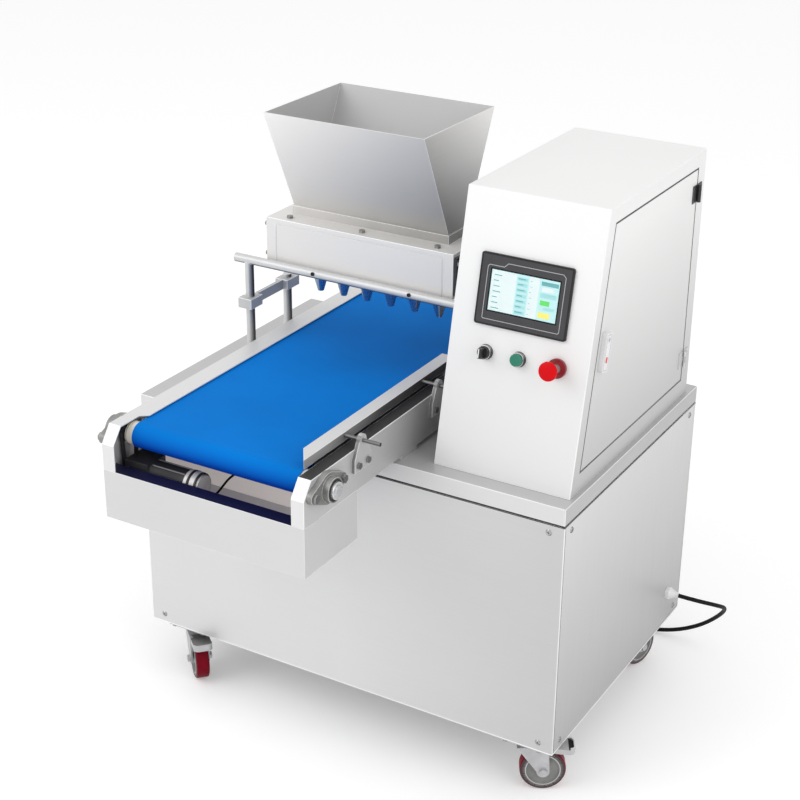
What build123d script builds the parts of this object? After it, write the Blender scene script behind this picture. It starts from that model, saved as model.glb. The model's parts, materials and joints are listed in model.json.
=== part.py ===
from build123d import *
import math
import os

# Cookie depositor on casters, in millimetres: X along its width, Y from front to back, Z up.
# The origin is on the floor, under the middle of the machine.

# Clearances
running_fit = 0.05
running_gap = 0.3
bolt_clearance = 0.1
bolt_tip_gap = 0.5

# Fasteners: shank radii, and head sizes per shank radius
small_bolt = 3.0
medium_bolt = 4.0
large_bolt = 5.0
head_ratio = 1.3
flats_ratio = 1.625
screw_radius = 2.5
screw_length = 9.0
screw_head = 2.0
screw_head_radius = 7.0
screw_crown_radius = 5.0

# Base cabinet
base_width = 1050.0
base_depth = 697.0
base_height = 585.0
deck_lip = 37.5
lip_gap = 3.5
panel_sheet = 2.0
deck_sheet = 3.0
frame_tube = 40.0
frame_wall = 2.5
corner_plate = 6.0
corner_margin = 4.0
drain_radius = 6.0
cable_hole_radius = 30.0
screw_inset = 34.0
screw_low = 22.0
screw_high = 18.5

# Casters
caster_height = 127.0
caster_right_inset = 75.0
caster_left_inset = 95.0
caster_front_inset = 38.0
caster_rear_inset = 121.0
caster_plate_width = 100.0
caster_plate_depth = 70.0
caster_plate_sheet = 4.0
caster_bolt_x = 80.0
caster_bolt_y = 50.0
race_radius = 22.0
king_pin_radius = 6.0
king_head_radius = 9.0
king_head = 3.5
wheel_radius = 50.0
wheel_width = 32.0
wheel_shoulder = 5.0
wheel_dish_radius = 36.0
wheel_dish = 6.0
hub_radius = 13.0
hub_width = 36.0
trail = 34.0
axle_radius = 5.0
axle_boss_radius = 14.0
fork_sheet = 4.0
fork_side_gap = 0.5
crown_sheet = 5.0
crown_drop = 16.0
crown_front = 24.0
crown_back = 30.0
leg_back = 44.0
pedal_pivot = 36.0
pedal_pin_radius = 2.2
pedal_barrel_radius = 4.2
pedal_sheet = 3.5
pedal_half_width = 16.0
pedal_wing = 22.0
pedal_wing_start = 50.0
pedal_tip = 102.0
pedal_corner = 12.0
pedal_skirt = 9.0
pedal_end_lip = 4.0
pedal_slope = 6.0
pedal_travel = 12.0
shoe_start = 42.0
shoe_end = 54.0
shoe_half_width = 12.0
shoe_drop = 11.0
headings = {"front_left": -43.0, "front_right": 30.0, "rear_left": 120.0, "rear_right": 73.0}
pedal_lifts = {"front_left": pedal_travel, "front_right": 0.0}

# Conveyor
conveyor_x = -100.7
conveyor_width = 486.0
conveyor_overhang = 347.0
conveyor_back_gap = 7.0
member_sheet = 3.0
member_height = 93.0
foot_height = 10.0
foot_length = 60.0
foot_front_inset = 50.0
nose_depth = 26.0
nose_height = 35.5
flange_width = 30.0
wide_flange = 46.7
wide_flange_start = 82.0
wide_flange_slope = 15.0
belt_width = 400.0
belt_sheet = 2.0
belt_drop = 5.0
roller_radius = 24.7
roller_face = 440.0
roller_inset = 69.0
shaft_radius = 12.5
shaft_reach = 36.0
shaft_hole_radius = 18.0
bearing_spacing = 99.0
bearing_flange = 13.0
bearing_depth = 27.0
bearing_boss_radius = 26.0
bearing_collar = 33.0
bearing_collar_radius = 18.0
bearing_waist_radius = 33.0
bearing_ear_radius = 13.0
bed_margin = 4.0
bed_sheet = 2.0
bed_clear = 8.0
bar_width = 40.0
bar_height = 20.0
bar_count = 4
bar_inset = 32.0

# Conveyor drive in the front tray
tray_depth = 191.0
tray_height = 109.0
tray_floor = 25.0
tray_flange = 35.0
tray_sheet = 2.0
tab_width = 24.0
tab_height = 30.0
tab_inset = 8.0
pulley_width = 14.0
pulley_radius = 22.0
motor_pulley_radius = 16.0
pulley_gap = 2.0
timing_belt_sheet = 2.5
timing_belt_width = 10.0
motor_drop = 78.0
motor_shaft_radius = 6.0
gearbox_size = 60.0
gearbox_length = 58.0
gearbox_gap = 3.0
motor_radius = 28.0
motor_length = 113.0
motor_cap = 5.0
motor_cap_radius = 24.0
motor_foot = 4.0
motor_foot_depth = 76.0

# Guide rail on the right of the belt
rail_width = 30.0
rail_sheet = 2.0
rail_height = 22.0
rail_offset = 34.3
rail_front = 53.0
rail_slope = 45.0
rail_back = 300.0
rail_outer_leg = 20.0
rail_inner_leg = 25.0
guide_rod_radius = 4.0
guide_rod_rise = 15.0
guide_rod_reach = 48.0
bracket_sheet = 8.0
bracket_width = 60.0
bracket_drop = 48.0
bracket_head_radius = 13.0
bracket_bolt_spacing = 34.0
bracket_bolt_rise = 14.0
bracket_places = (200.0, 507.0)

# Feed head
head_center = 328.8
head_length = 471.0
head_depth = 185.5
head_height = 101.0
head_rise = 281.7
end_plate = 24.0
head_wall = 12.0
cover_ledge = 36.0
feed_radius = 29.0
feed_spacing = 60.0
feed_shaft_radius = 10.0
feed_journal = 15.0
feed_end_gap = 0.5
gear_teeth = 20
gear_module = 3.0
gear_root_ratio = 1.25
gear_width = 18.0
gear_offset = 14.0
gear_backlash = 0.5
pressure_angle = 20.0
flank_steps = 4
carrier_width = 150.0
carrier_height = 84.0
carrier_wall = 6.0
carrier_ear = 16.0
carrier_flange = 8.0
carrier_bolt_rise = 30.0
top_bolt_spacing = 186.0
top_bolt_inset = 21.0
end_bolt_inset = 16.0
hopper_length = 390.0
hopper_top_depth = 304.0
hopper_neck_depth = 85.0
hopper_height = 254.0
hopper_sheet = 2.5
collar_height = 20.0
collar_groove = 2.0
collar_step = 3.0
nozzle_plate_length = 400.0
nozzle_plate_depth = 80.0
nozzle_plate_height = 27.0
nozzle_count = 6
nozzle_pitch = 61.5
nozzle_length = 58.0
nozzle_radius = 17.0
nozzle_tip_radius = 7.0
nozzle_bore = 4.0
nozzle_neck_radius = 12.0
nozzle_neck = 10.0
nozzle_rim = 22.0
channel_depth = 12.0
channel_width = 30.0
feed_motor_flange = 88.0
feed_motor_sheet = 8.0
feed_motor_bolts = 73.0
feed_gearbox_size = 60.0
feed_gearbox_length = 70.0
feed_motor_radius = 36.0
feed_motor_length = 110.0

# Cutter
bar_radius = 10.0
cutter_y = 222.0
cutter_rise = 279.5
bar_left = 411.0
bar_inside = 19.0
cutter_travel = 20.0
post_x = -375.0
post_spacing = 149.0
post_below = 60.0
guide_post_rise = 201.0
link_rise = 181.0
clamp_height = 24.0
front_clamp_width = 36.0
front_clamp_depth = 45.0
rear_clamp_width = 34.0
rear_clamp_depth = 50.0
clamp_slit = 3.0
link_sheet = 8.0
post_flange_radius = 22.0
post_flange = 8.0
stud_radius = 8.0
stud_length = 14.0
nose_radius = 16.0
nose_rise = 12.0
actuator_flange = 90.0
actuator_flange_sheet = 8.0
actuator_radius = 32.0
actuator_length = 190.0
actuator_bore = 100.0
actuator_bolt_spacing = 70.0
slot_gap = 2.0

# Control cabinet
cabinet_left = 205.7
cabinet_width = 308.5
cabinet_height = 567.3
cabinet_front = 40.0
cabinet_slope = 120.4
cabinet_back = 655.8
cabinet_sheet = 2.0
cabinet_flange = 25.0
cabinet_front_flange = 50.0
cabinet_bolt_inset = 40.0
shaft_passage = 14.0
door_front = 35.0
door_top = 37.0
door_bottom = 46.0
door_back = 44.0
door_gap = 2.5
stop_lap = 8.0
stop_root = 10.0
stop_sheet = 3.0
hinge_pin_radius = 2.0
hinge_barrel_radius = 4.5
hinge_rise = 6.0
hinge_knuckle = 12.5
hinge_gap = 0.4
hinge_leaf = 24.0
hinge_leaf_sheet = 2.0
hinge_relief = 6.0
hinge_inset = 51.0
latch_rise = 278.0
latch_from_hinge = 457.5
latch_width = 28.0
latch_length = 80.0
latch_base = 2.0
latch_thickness = 9.5
latch_pivot = 28.0
latch_corner = 8.0
latch_shaft_radius = 5.0
latch_cam_sheet = 5.0
latch_cam_width = 16.0
latch_cam_reach = 34.0
latch_cam_gap = 2.0
screen_left = 52.3
screen_width = 201.0
screen_low = 311.0
screen_height = 145.0
screen_bezel = 6.0
screen_corner = 5.0
screen_view_width = 154.0
screen_view_height = 88.0
screen_recess = 1.0
screen_body_margin = 9.0
screen_body = 38.0
button_rise = 256.0
selector_place = 85.3
green_place = 158.8
stop_place = 243.3
barrel_radius = 11.0
barrel_length = 30.0
bezel_radius = 15.0
bezel_height = 11.0
bezel_floor = 2.0
cap_radius = 12.4
cap_low = 6.0
cap_high = 18.0
stem_radius = 6.0
stem_depth = 24.0
knob_high = 16.0
grip_high = 30.0
grip_width = 8.0
collar_radius = 20.0
collar_thickness = 8.0
neck_radius = 9.0
mushroom_radius = 20.0
mushroom_low = 36.0
mushroom_high = 50.0
mushroom_round = 4.0
plate_standoff = 10.0
plate_sheet = 2.0
plate_side_margin = 30.0
plate_low = 90.0
plate_height = 400.0
rail_strip = 35.0
rail_strip_sheet = 7.5
rail_shares = (0.25, 0.72)
module_height = 120.0
module_depths = (110.0, 90.0, 70.0)
module_gap = 8.0

# Mains lead: gland on the right side panel, free cord, coil and plug
cord_radius = 5.0
gland_back = 615.0
gland_rise = 82.0
gland_nut = 8.0
gland_nut_flats = 14.0
gland_dome = 14.0
gland_length = 30.0
gland_thread_radius = 10.0
gland_thread = 12.0
gland_step = 1.0
sleeve_wall = 2.5
sleeve_tip_wall = 1.5
cord_straight = 42.0
coil_pitch = 10.6
coil_middle_radius = 56.0
coil_turns = 3
coil_climb = 0.5
coil_inset = 225.0
coil_behind = 111.0
coil_end = 10.0
coil_approach = 62.0
plug_lead = 26.0
plug_neck_wall = 1.5
plug_shoulder_wall = 4.0
plug_taper = 24.0
plug_body = 38.0
plug_pin_radius = 2.4
plug_pin = 19.0
plug_pin_spacing = 19.0
arc_share = 0.45

# Levels
base_bottom = caster_height
deck_top = base_bottom + base_height
frame_top = deck_top - deck_sheet
lip_bottom = deck_top - deck_lip
panel_top = lip_bottom - lip_gap
ring_bottom = base_bottom + corner_plate
member_bottom = deck_top + foot_height
member_top = member_bottom + member_height
belt_top = member_top - belt_drop
belt_inner = roller_radius + running_gap
belt_outer = belt_inner + belt_sheet
roller_z = belt_top - belt_outer
head_bottom = deck_top + head_rise
head_top = head_bottom + head_height
feed_z = head_bottom + head_height / 2
nozzle_plate_bottom = head_bottom - nozzle_plate_height
cabinet_top = deck_top + cabinet_height
bar_z = deck_top + cutter_rise
link_z = deck_top + link_rise

# Places across the width
side_x = base_width / 2
frame_x = side_x - panel_sheet
conveyor_left = conveyor_x - conveyor_width / 2
conveyor_right = conveyor_x + conveyor_width / 2
head_left = conveyor_x - head_length / 2
head_right = conveyor_x + head_length / 2
cabinet_right = cabinet_left + cabinet_width
wall_x = cabinet_right - cabinet_sheet

# Places from front to back
base_front = (conveyor_overhang - base_depth - screw_head) / 2
base_back = base_front + base_depth
frame_front = base_front + panel_sheet
frame_back = base_back - panel_sheet
conveyor_front = base_front - conveyor_overhang
conveyor_back = base_back - conveyor_back_gap
front_roller_y = conveyor_front + roller_inset
rear_roller_y = conveyor_back - roller_inset
head_y = base_front + head_center
head_front = head_y - head_depth / 2
head_back = head_y + head_depth / 2
front_feed_y = head_y - feed_spacing / 2
rear_feed_y = head_y + feed_spacing / 2
post_y = base_front + cutter_y
guide_post_y = post_y + post_spacing
cabinet_front_y = base_front + cabinet_front
cabinet_back_y = base_front + cabinet_back
motor_z = roller_z - motor_drop
slant = math.atan2(cabinet_slope, cabinet_height)

# Directions
right = (1, 0, 0)
left = (-1, 0, 0)
back = (0, 1, 0)
front = (0, -1, 0)
up = (0, 0, 1)
down = (0, 0, -1)


def block(x0, x1, y0, y1, z0, z1):
    """Box between two opposite corners."""
    return Pos((x0 + x1) / 2, (y0 + y1) / 2, (z0 + z1) / 2) * Box(x1 - x0, y1 - y0, z1 - z0)


def rod(start, direction, length, radius):
    """Cylinder that starts at a point and runs along a direction."""
    return Plane(origin=start, z_dir=direction).location * Pos(0, 0, length / 2) * Cylinder(radius, length)


def prism_x(outline, x0, x1):
    """Solid of a (y, z) outline between two places along X."""
    face = make_face(Polyline(*[(x0, y, z) for y, z in outline], close=True))
    return extrude(face, amount=x1 - x0, dir=right)


def prism_z(outline, z0, z1):
    """Solid of an (x, y) outline between two levels."""
    face = make_face(Polyline(*[(x, y, z0) for x, y in outline], close=True))
    return extrude(face, amount=z1 - z0, dir=up)


def hull_x(circles, x0, x1):
    """Solid of the hull round (y, z, radius) circles, between two places along X."""
    edges = []
    for y, z, radius in circles:
        edges.extend((Pos(y, z) * Circle(radius)).edges())
    face = Pos(x0, 0, 0) * (Plane.YZ.location * make_hull(edges))
    return extrude(face, amount=x1 - x0, dir=right)


def opposite(direction):
    """The direction turned round."""
    return tuple(-value for value in direction)


def bolt_holes(seats, outward, radius, depth):
    """Clearance holes that run inwards from the bolt seats."""
    return [rod(seat, opposite(outward), depth, radius + bolt_clearance) for seat in seats]


def hex_bolt(seat, outward, radius, depth):
    """Hex bolt: its head stands outwards from the seat, its shank runs inwards."""
    head = extrude(RegularPolygon(radius * flats_ratio, 6, major_radius=False), radius * head_ratio)
    shank = Pos(0, 0, -depth / 2) * Cylinder(radius, depth)
    return Plane(origin=seat, z_dir=outward).location * (head + shank)


def hex_bolt_group(seats, outward, radius, depth):
    """One hex bolt on each seat."""
    return [hex_bolt(seat, outward, radius, depth) for seat in seats]


def group(pieces):
    """Separate solids that share one node."""
    return Compound(children=[solid for piece in pieces for solid in piece.solids()])


# Base cabinet

def frame_ring(inset, width, z0, z1):
    """Rectangular ring along the frame's outside, set in by an inset."""
    reach = inset + width
    outer = block(-frame_x + inset, frame_x - inset, frame_front + inset, frame_back - inset, z0, z1)
    inner = block(-frame_x + reach, frame_x - reach, frame_front + reach, frame_back - reach, z0, z1)
    return outer - inner


def uprights(inset, z0, z1):
    """Four square posts in the frame's corners, set in by an inset on every side."""
    posts = []
    for x0 in (-frame_x, frame_x - frame_tube):
        for y0 in (frame_front, frame_back - frame_tube):
            x1 = x0 + frame_tube
            y1 = y0 + frame_tube
            posts.append(block(x0 + inset, x1 - inset, y0 + inset, y1 - inset, z0, z1))
    return posts


def caster_places():
    """Name, swivel x and y, and heading of each caster."""
    xs = {"left": -side_x + caster_left_inset, "right": side_x - caster_right_inset}
    ys = {"front": base_front + caster_front_inset, "rear": base_back - caster_rear_inset}
    return [(f"{end}_{side}", xs[side], ys[end], headings[f"{end}_{side}"]) for end in ys for side in xs]


def corner_plates():
    """Plates under the frame's corners that carry the casters."""
    plates = []
    reach_x = caster_plate_width / 2 + corner_margin
    reach_y = caster_plate_depth / 2 + corner_margin
    for name, x, y, heading in caster_places():
        x0, x1 = (x - reach_x, frame_x) if x > 0 else (-frame_x, x + reach_x)
        y0, y1 = (frame_front, y + reach_y) if "front" in name else (y - reach_y, frame_back)
        plates.append(block(x0, x1, y0, y1, base_bottom, ring_bottom))
    return plates


def caster_bolt_seats():
    """Bolt seats on the underside of the caster plates."""
    z = base_bottom - caster_plate_sheet
    return [
        (x + sx * caster_bolt_x / 2, y + sy * caster_bolt_y / 2, z)
        for name, x, y, heading in caster_places()
        for sx in (-1, 1)
        for sy in (-1, 1)
    ]


caster_bolt_depth = caster_plate_sheet + corner_plate - bolt_tip_gap


def screw_seats():
    """Panel screw seats as (seat, outward) pairs: front, rear, left and right."""
    seats = []
    for z in (base_bottom + screw_low, panel_top - screw_high):
        for sign in (-1, 1):
            seats.append(((sign * (side_x - screw_inset), base_front, z), front))
            seats.append(((sign * (side_x - screw_inset), base_back, z), back))
            for y in (base_front + screw_inset, base_back - screw_inset):
                seats.append(((sign * side_x, y, z), (sign, 0, 0)))
    return seats


def screw_holes():
    """Clearance holes of the panel screws."""
    radius = screw_radius + bolt_clearance
    return [rod(seat, opposite(outward), screw_length, radius) for seat, outward in screw_seats()]


def panel_screws():
    """Button-head screws of the panels."""
    screws = []
    for seat, outward in screw_seats():
        head = Pos(0, 0, screw_head / 2) * Cone(screw_head_radius, screw_crown_radius, screw_head)
        shank_length = screw_length - bolt_tip_gap
        shank = Pos(0, 0, -shank_length / 2) * Cylinder(screw_radius, shank_length)
        screws.append(Plane(origin=seat, z_dir=outward).location * (head + shank))
    return group(screws)


def base_frame():
    """Welded square tubes, hollow, with caster plates in the corners and drain holes in them."""
    ring_top = ring_bottom + frame_tube
    top_ring_bottom = frame_top - frame_tube
    bore = frame_tube - 2 * frame_wall
    frame = frame_ring(0, frame_tube, ring_bottom, ring_top)
    frame += frame_ring(0, frame_tube, top_ring_bottom, frame_top)
    frame += uprights(0, ring_bottom, frame_top)
    frame += corner_plates()
    hollow = frame_ring(frame_wall, bore, ring_bottom + frame_wall, ring_top - frame_wall)
    hollow += frame_ring(frame_wall, bore, top_ring_bottom + frame_wall, frame_top - frame_wall)
    hollow += uprights(frame_wall, ring_bottom + frame_wall, frame_top - frame_wall)
    frame -= hollow
    drain_depth = corner_plate + frame_tube / 2
    for x in (-frame_x + frame_tube / 2, frame_x - frame_tube / 2):
        for y in (frame_front + frame_tube / 2, frame_back - frame_tube / 2):
            frame -= rod((x, y, base_bottom), up, drain_depth, drain_radius)
    frame -= bolt_holes(caster_bolt_seats(), down, medium_bolt, caster_plate_sheet + corner_plate)
    frame -= bolt_holes(cabinet_bolt_seats(), up, medium_bolt, cabinet_bolt_depth + frame_wall)
    frame -= bolt_holes(foot_bolt_seats(), up, medium_bolt, foot_bolt_depth + frame_wall)
    return frame - screw_holes()


def front_panel():
    """Front sheet of the base."""
    sheet = block(-side_x, side_x, base_front, frame_front, base_bottom, panel_top)
    return sheet - screw_holes()


def gland_seat():
    """Where the gland meets the right side panel."""
    return (side_x, base_front + gland_back, base_bottom + gland_rise)


def base_panels():
    """Side and rear sheets of the base."""
    left_sheet = block(-side_x, -frame_x, frame_front, frame_back, base_bottom, panel_top)
    right_sheet = block(frame_x, side_x, frame_front, frame_back, base_bottom, panel_top)
    rear_sheet = block(-side_x, side_x, frame_back, base_back, base_bottom, panel_top)
    gland_hole = rod(gland_seat(), left, panel_sheet, gland_thread_radius + bolt_clearance)
    holes = screw_holes()
    return group([left_sheet - holes, right_sheet - holes - gland_hole, rear_sheet - holes])


def actuator_bolt_seats():
    """Bolt seats on the deck round the cutter post."""
    half = actuator_bolt_spacing / 2
    return [(post_x + sx * half, post_y + sy * half, deck_top) for sx in (-1, 1) for sy in (-1, 1)]


actuator_bolt_depth = deck_sheet + actuator_flange_sheet


def foot_places():
    """Middles of the conveyor's feet along Y."""
    first = base_front + foot_front_inset
    last = conveyor_back - foot_front_inset
    return (first, (first + last) / 2, last)


def foot_bolt_seats():
    """Bolt seats on the bottom flanges of the conveyor, over its feet."""
    z = member_bottom + member_sheet
    inset = (flange_width + member_sheet) / 2
    xs = (conveyor_left + inset, conveyor_right - inset)
    return [(x, y, z) for x in xs for y in foot_places()]


foot_bolt_depth = member_sheet + foot_height + deck_sheet + bolt_tip_gap


def cabinet_bolt_seats():
    """Bolt seats on the cabinet's bottom flange."""
    inset = cabinet_sheet + (cabinet_flange - cabinet_sheet) / 2
    xs = (cabinet_left + inset, cabinet_right - inset)
    ys = (cabinet_front_y + cabinet_bolt_inset, cabinet_back_y - cabinet_bolt_inset)
    return [(x, y, deck_top + cabinet_sheet) for x in xs for y in ys]


cabinet_bolt_depth = cabinet_sheet + deck_sheet + bolt_tip_gap


def deck():
    """Top sheet of the base with its turned-down lip."""
    sheet = block(-side_x, side_x, base_front, base_back, lip_bottom, deck_top)
    sheet -= block(-frame_x, frame_x, frame_front, frame_back, lip_bottom, frame_top)
    through = deck_sheet
    sheet -= rod((post_x, post_y, deck_top), down, through, nose_radius + bolt_clearance)
    sheet -= rod((post_x, guide_post_y, deck_top), down, through, stud_radius + bolt_clearance)
    middle_x = cabinet_left + cabinet_width / 2
    middle_y = (cabinet_front_y + cabinet_back_y) / 2
    sheet -= rod((middle_x, middle_y, deck_top), down, through, cable_hole_radius)
    sheet -= bolt_holes(actuator_bolt_seats(), up, small_bolt, through)
    sheet -= bolt_holes(foot_bolt_seats(), up, medium_bolt, foot_bolt_depth)
    return sheet - bolt_holes(cabinet_bolt_seats(), up, medium_bolt, cabinet_bolt_depth)


# Casters

crown_top = caster_height - crown_drop
crown_bottom = crown_top - crown_sheet
pedal_pivot_z = crown_bottom + crown_sheet / 2
fork_inner = hub_width / 2 + fork_side_gap
fork_outer = fork_inner + fork_sheet


def caster_plates():
    """Bolt-on plates, each with its upper race and riveted king pin."""
    plate_bottom = base_bottom - caster_plate_sheet
    race_bottom = crown_top + running_gap
    head_top_z = crown_bottom - running_gap
    pieces = []
    for name, x, y, heading in caster_places():
        half_x = caster_plate_width / 2
        half_y = caster_plate_depth / 2
        piece = block(x - half_x, x + half_x, y - half_y, y + half_y, plate_bottom, base_bottom)
        piece += rod((x, y, race_bottom), up, plate_bottom - race_bottom, race_radius)
        piece += rod((x, y, head_top_z), up, race_bottom - head_top_z, king_pin_radius)
        piece += rod((x, y, head_top_z - king_head), up, king_head, king_head_radius)
        pieces.append(piece - bolt_holes(caster_bolt_seats(), down, medium_bolt, caster_plate_sheet))
    return group(pieces)


def lengthwise(outline, y0, y1):
    """Solid of an (x, z) outline between two places along Y."""
    face = make_face(Polyline(*[(x, y0, z) for x, z in outline], close=True))
    return extrude(face, amount=y1 - y0, dir=back)


def fork():
    """Fork with its axle bolt, swivel at the origin and trailing along +X."""
    body = block(-crown_front, crown_back, -fork_outer, fork_outer, crown_bottom, crown_top)
    outline = [
        (-crown_front, crown_top),
        (leg_back, crown_top),
        (trail + axle_boss_radius, wheel_radius),
        (trail - axle_boss_radius, wheel_radius),
    ]
    for side in (-fork_outer, fork_inner):
        body += lengthwise(outline, side, side + fork_sheet)
        body += rod((trail, side, wheel_radius), back, fork_sheet, axle_boss_radius)
    body -= rod((0, 0, crown_bottom), up, crown_sheet, king_pin_radius + running_fit)
    across = 2 * fork_outer
    body -= rod((trail, -fork_outer, wheel_radius), back, across, axle_radius + running_fit)
    body -= rod((pedal_pivot, -fork_outer, pedal_pivot_z), back, across, pedal_pin_radius + running_fit)
    axle = hex_bolt((trail, -fork_outer, wheel_radius), front, axle_radius, across)
    nut = hex_bolt((trail, fork_outer, wheel_radius), back, axle_radius, across)
    return group([body, axle + nut])


def wheel():
    """Wheel on its axle line: tread, dished sides and a hub."""
    tread = Cylinder(wheel_radius, wheel_width)
    tread = fillet(tread.edges().filter_by(GeomType.CIRCLE), wheel_shoulder)
    dish = Cylinder(wheel_dish_radius, wheel_dish) - Cylinder(hub_radius, wheel_dish)
    for side in (-1, 1):
        tread -= Pos(0, 0, side * (wheel_width - wheel_dish) / 2) * dish
    tread += Cylinder(hub_radius, hub_width)
    tread -= Cylinder(axle_radius + running_fit, hub_width)
    return Pos(trail, 0, wheel_radius) * Rot(90, 0, 0) * tread


def round_ended(x0, x1, half_width, corner):
    """Upright block whose far end, along X, has round corners."""
    plan = block(x0, x1, -half_width, half_width, 0, caster_height)
    return fillet(plan.edges().filter_by(Axis.Z).group_by(Axis.X)[-1], corner)


def about_pedal_pin(angle):
    """Turn about the pedal's pin that lowers the tip by an angle."""
    pin = Pos(pedal_pivot, 0, pedal_pivot_z)
    return pin * Rot(0, angle, 0) * pin.inverse()


def brake_pedal(lift):
    """Pressed foot pedal on a barrel between the fork's legs, with a shoe over the tread."""
    low = pedal_pivot_z
    high = low + pedal_sheet
    inner_half = pedal_wing - pedal_sheet
    wing = round_ended(pedal_wing_start, pedal_tip, pedal_wing, pedal_corner)
    hollow = round_ended(pedal_pivot, pedal_tip - pedal_sheet, inner_half, pedal_corner - pedal_sheet)
    rim = wing - hollow
    tongue_end = (pedal_wing_start + pedal_tip) / 2
    tongue = block(pedal_pivot, tongue_end, -pedal_half_width, pedal_half_width, low, high)
    pedal = tongue + (wing & block(0, pedal_tip, -pedal_wing, pedal_wing, low, high))
    pedal += rim & block(0, pedal_tip, -pedal_wing, pedal_wing, low - pedal_skirt, low)
    lip_start = pedal_tip - pedal_corner
    pedal += rim & block(lip_start, pedal_tip, -pedal_wing, pedal_wing, high, high + pedal_end_lip)
    pedal = about_pedal_pin(pedal_slope) * pedal
    shoe = block(shoe_start, shoe_end, -shoe_half_width, shoe_half_width, low - shoe_drop, low)
    tread_start = (trail, -shoe_half_width, wheel_radius)
    pedal += shoe - rod(tread_start, back, 2 * shoe_half_width, wheel_radius + running_gap)
    barrel_half = fork_inner - running_gap
    pedal += rod((pedal_pivot, -barrel_half, low), back, 2 * barrel_half, pedal_barrel_radius)
    pedal += rod((pedal_pivot, -fork_outer, low), back, 2 * fork_outer, pedal_pin_radius)
    return about_pedal_pin(-lift) * pedal


# Conveyor

def member_outline(inset):
    """Side outline of a conveyor member as (y, z), set in by an inset on its front, top and back."""
    slope = math.atan2(nose_height, nose_depth)
    shift = inset / math.tan((math.pi / 2 + slope) / 2)
    rise = inset / math.tan((math.pi - slope) / 2)
    low = member_bottom
    shoulder = member_top - nose_height - shift + inset
    crest = nose_depth + rise
    return [
        (conveyor_front + inset, low),
        (conveyor_front + inset, shoulder),
        (conveyor_front + crest, member_top - inset),
        (conveyor_back - crest, member_top - inset),
        (conveyor_back - inset, shoulder),
        (conveyor_back - inset, low),
    ]


def bearing_bolt_seats(outer_x):
    """Bolt seats of the two bearings on one side, on their flanges' outer face."""
    half = bearing_spacing / 2
    shafts = (front_roller_y, rear_roller_y)
    return [(outer_x, y + sign * half, roller_z) for y in shafts for sign in (-1, 1)]


bearing_bolt_depth = bearing_flange + member_sheet + bolt_tip_gap


def bracket_rod_places():
    """Places of the guide rods along Y."""
    return [conveyor_front + place for place in bracket_places]


guide_rod_z = member_top + guide_rod_rise
bracket_bottom = member_top - bracket_drop


def bracket_bolt_seats():
    """Bolt seats on the outer faces of the guide brackets."""
    x = conveyor_right + bracket_sheet
    z = bracket_bottom + bracket_bolt_rise
    half = bracket_bolt_spacing / 2
    return [(x, y + sign * half, z) for y in bracket_rod_places() for sign in (-1, 1)]


bracket_bolt_depth = bracket_sheet + member_sheet + bolt_tip_gap


def tray_tab_spans():
    """Y spans of the tabs that hang the tray from the side members."""
    front_start = conveyor_front + tab_inset
    rear_end = conveyor_front + tray_depth - tab_inset
    return [(front_start, front_start + tab_width), (rear_end - tab_width, rear_end)]


def tab_bolt_seats(outer_x, inward):
    """Bolt seats on the inner faces of the tray's tabs at one member."""
    x = outer_x + inward * (member_sheet + tray_sheet)
    z = member_bottom + tab_height / 2
    return [(x, (y0 + y1) / 2, z) for y0, y1 in tray_tab_spans()]


tab_bolt_depth = tray_sheet + member_sheet - bolt_tip_gap


def side_member(outer_x, inward):
    """Side plate with a flange along its nose, top and tail, a bottom flange and feet."""
    def span(width):
        return sorted((outer_x, outer_x + inward * width))

    plate = prism_x(member_outline(0), *span(member_sheet))
    band = prism_x(member_outline(0), *span(flange_width))
    band -= prism_x(member_outline(member_sheet), *span(flange_width))
    member = plate + band
    x0, x1 = span(flange_width)
    member += block(x0, x1, base_front, conveyor_back, member_bottom, member_bottom + member_sheet)
    for y in foot_places():
        member += block(x0, x1, y - foot_length / 2, y + foot_length / 2, deck_top, member_bottom)
    for y in (front_roller_y, rear_roller_y):
        member -= rod((outer_x, y, roller_z), (inward, 0, 0), member_sheet, shaft_hole_radius)
    outward = (-inward, 0, 0)
    bearing_face = outer_x - inward * bearing_flange
    member -= bolt_holes(bearing_bolt_seats(bearing_face), outward, large_bolt, bearing_bolt_depth)
    tab_seats = tab_bolt_seats(outer_x, inward)
    member -= bolt_holes(tab_seats, (inward, 0, 0), small_bolt, tab_bolt_depth)
    return member - bolt_holes(foot_bolt_seats(), up, medium_bolt, foot_bolt_depth)


def left_side_member():
    """Left member, whose top flange widens over the belt's edge."""
    start = conveyor_front + wide_flange_start
    outline = [
        (conveyor_left, start),
        (conveyor_left + flange_width - member_sheet, start),
        (conveyor_left + wide_flange, start + wide_flange_slope),
        (conveyor_left + wide_flange, conveyor_back - nose_depth),
        (conveyor_left, conveyor_back - nose_depth),
    ]
    return side_member(conveyor_left, 1) + prism_z(outline, member_top - member_sheet, member_top)


def right_side_member():
    """Right member, with holes for the guide brackets."""
    holes = bolt_holes(bracket_bolt_seats(), right, medium_bolt, bracket_bolt_depth)
    return side_member(conveyor_right, -1) - holes


def slider_bed():
    """Sheet under the belt's top run, on cross bars between the side members."""
    top = belt_top - belt_sheet - running_gap
    half = belt_width / 2 + bed_margin
    y0 = front_roller_y + belt_outer + bed_clear
    y1 = rear_roller_y - belt_outer - bed_clear
    bed = block(conveyor_x - half, conveyor_x + half, y0, y1, top - bed_sheet, top)
    x0 = conveyor_left + member_sheet
    x1 = conveyor_right - member_sheet
    step = (y1 - y0 - bar_width - 2 * bar_inset) / (bar_count - 1)
    bar_top = top - bed_sheet
    for number in range(bar_count):
        start = y0 + bar_inset + number * step
        bed += block(x0, x1, start, start + bar_width, bar_top - bar_height, bar_top)
    return bed


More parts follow.
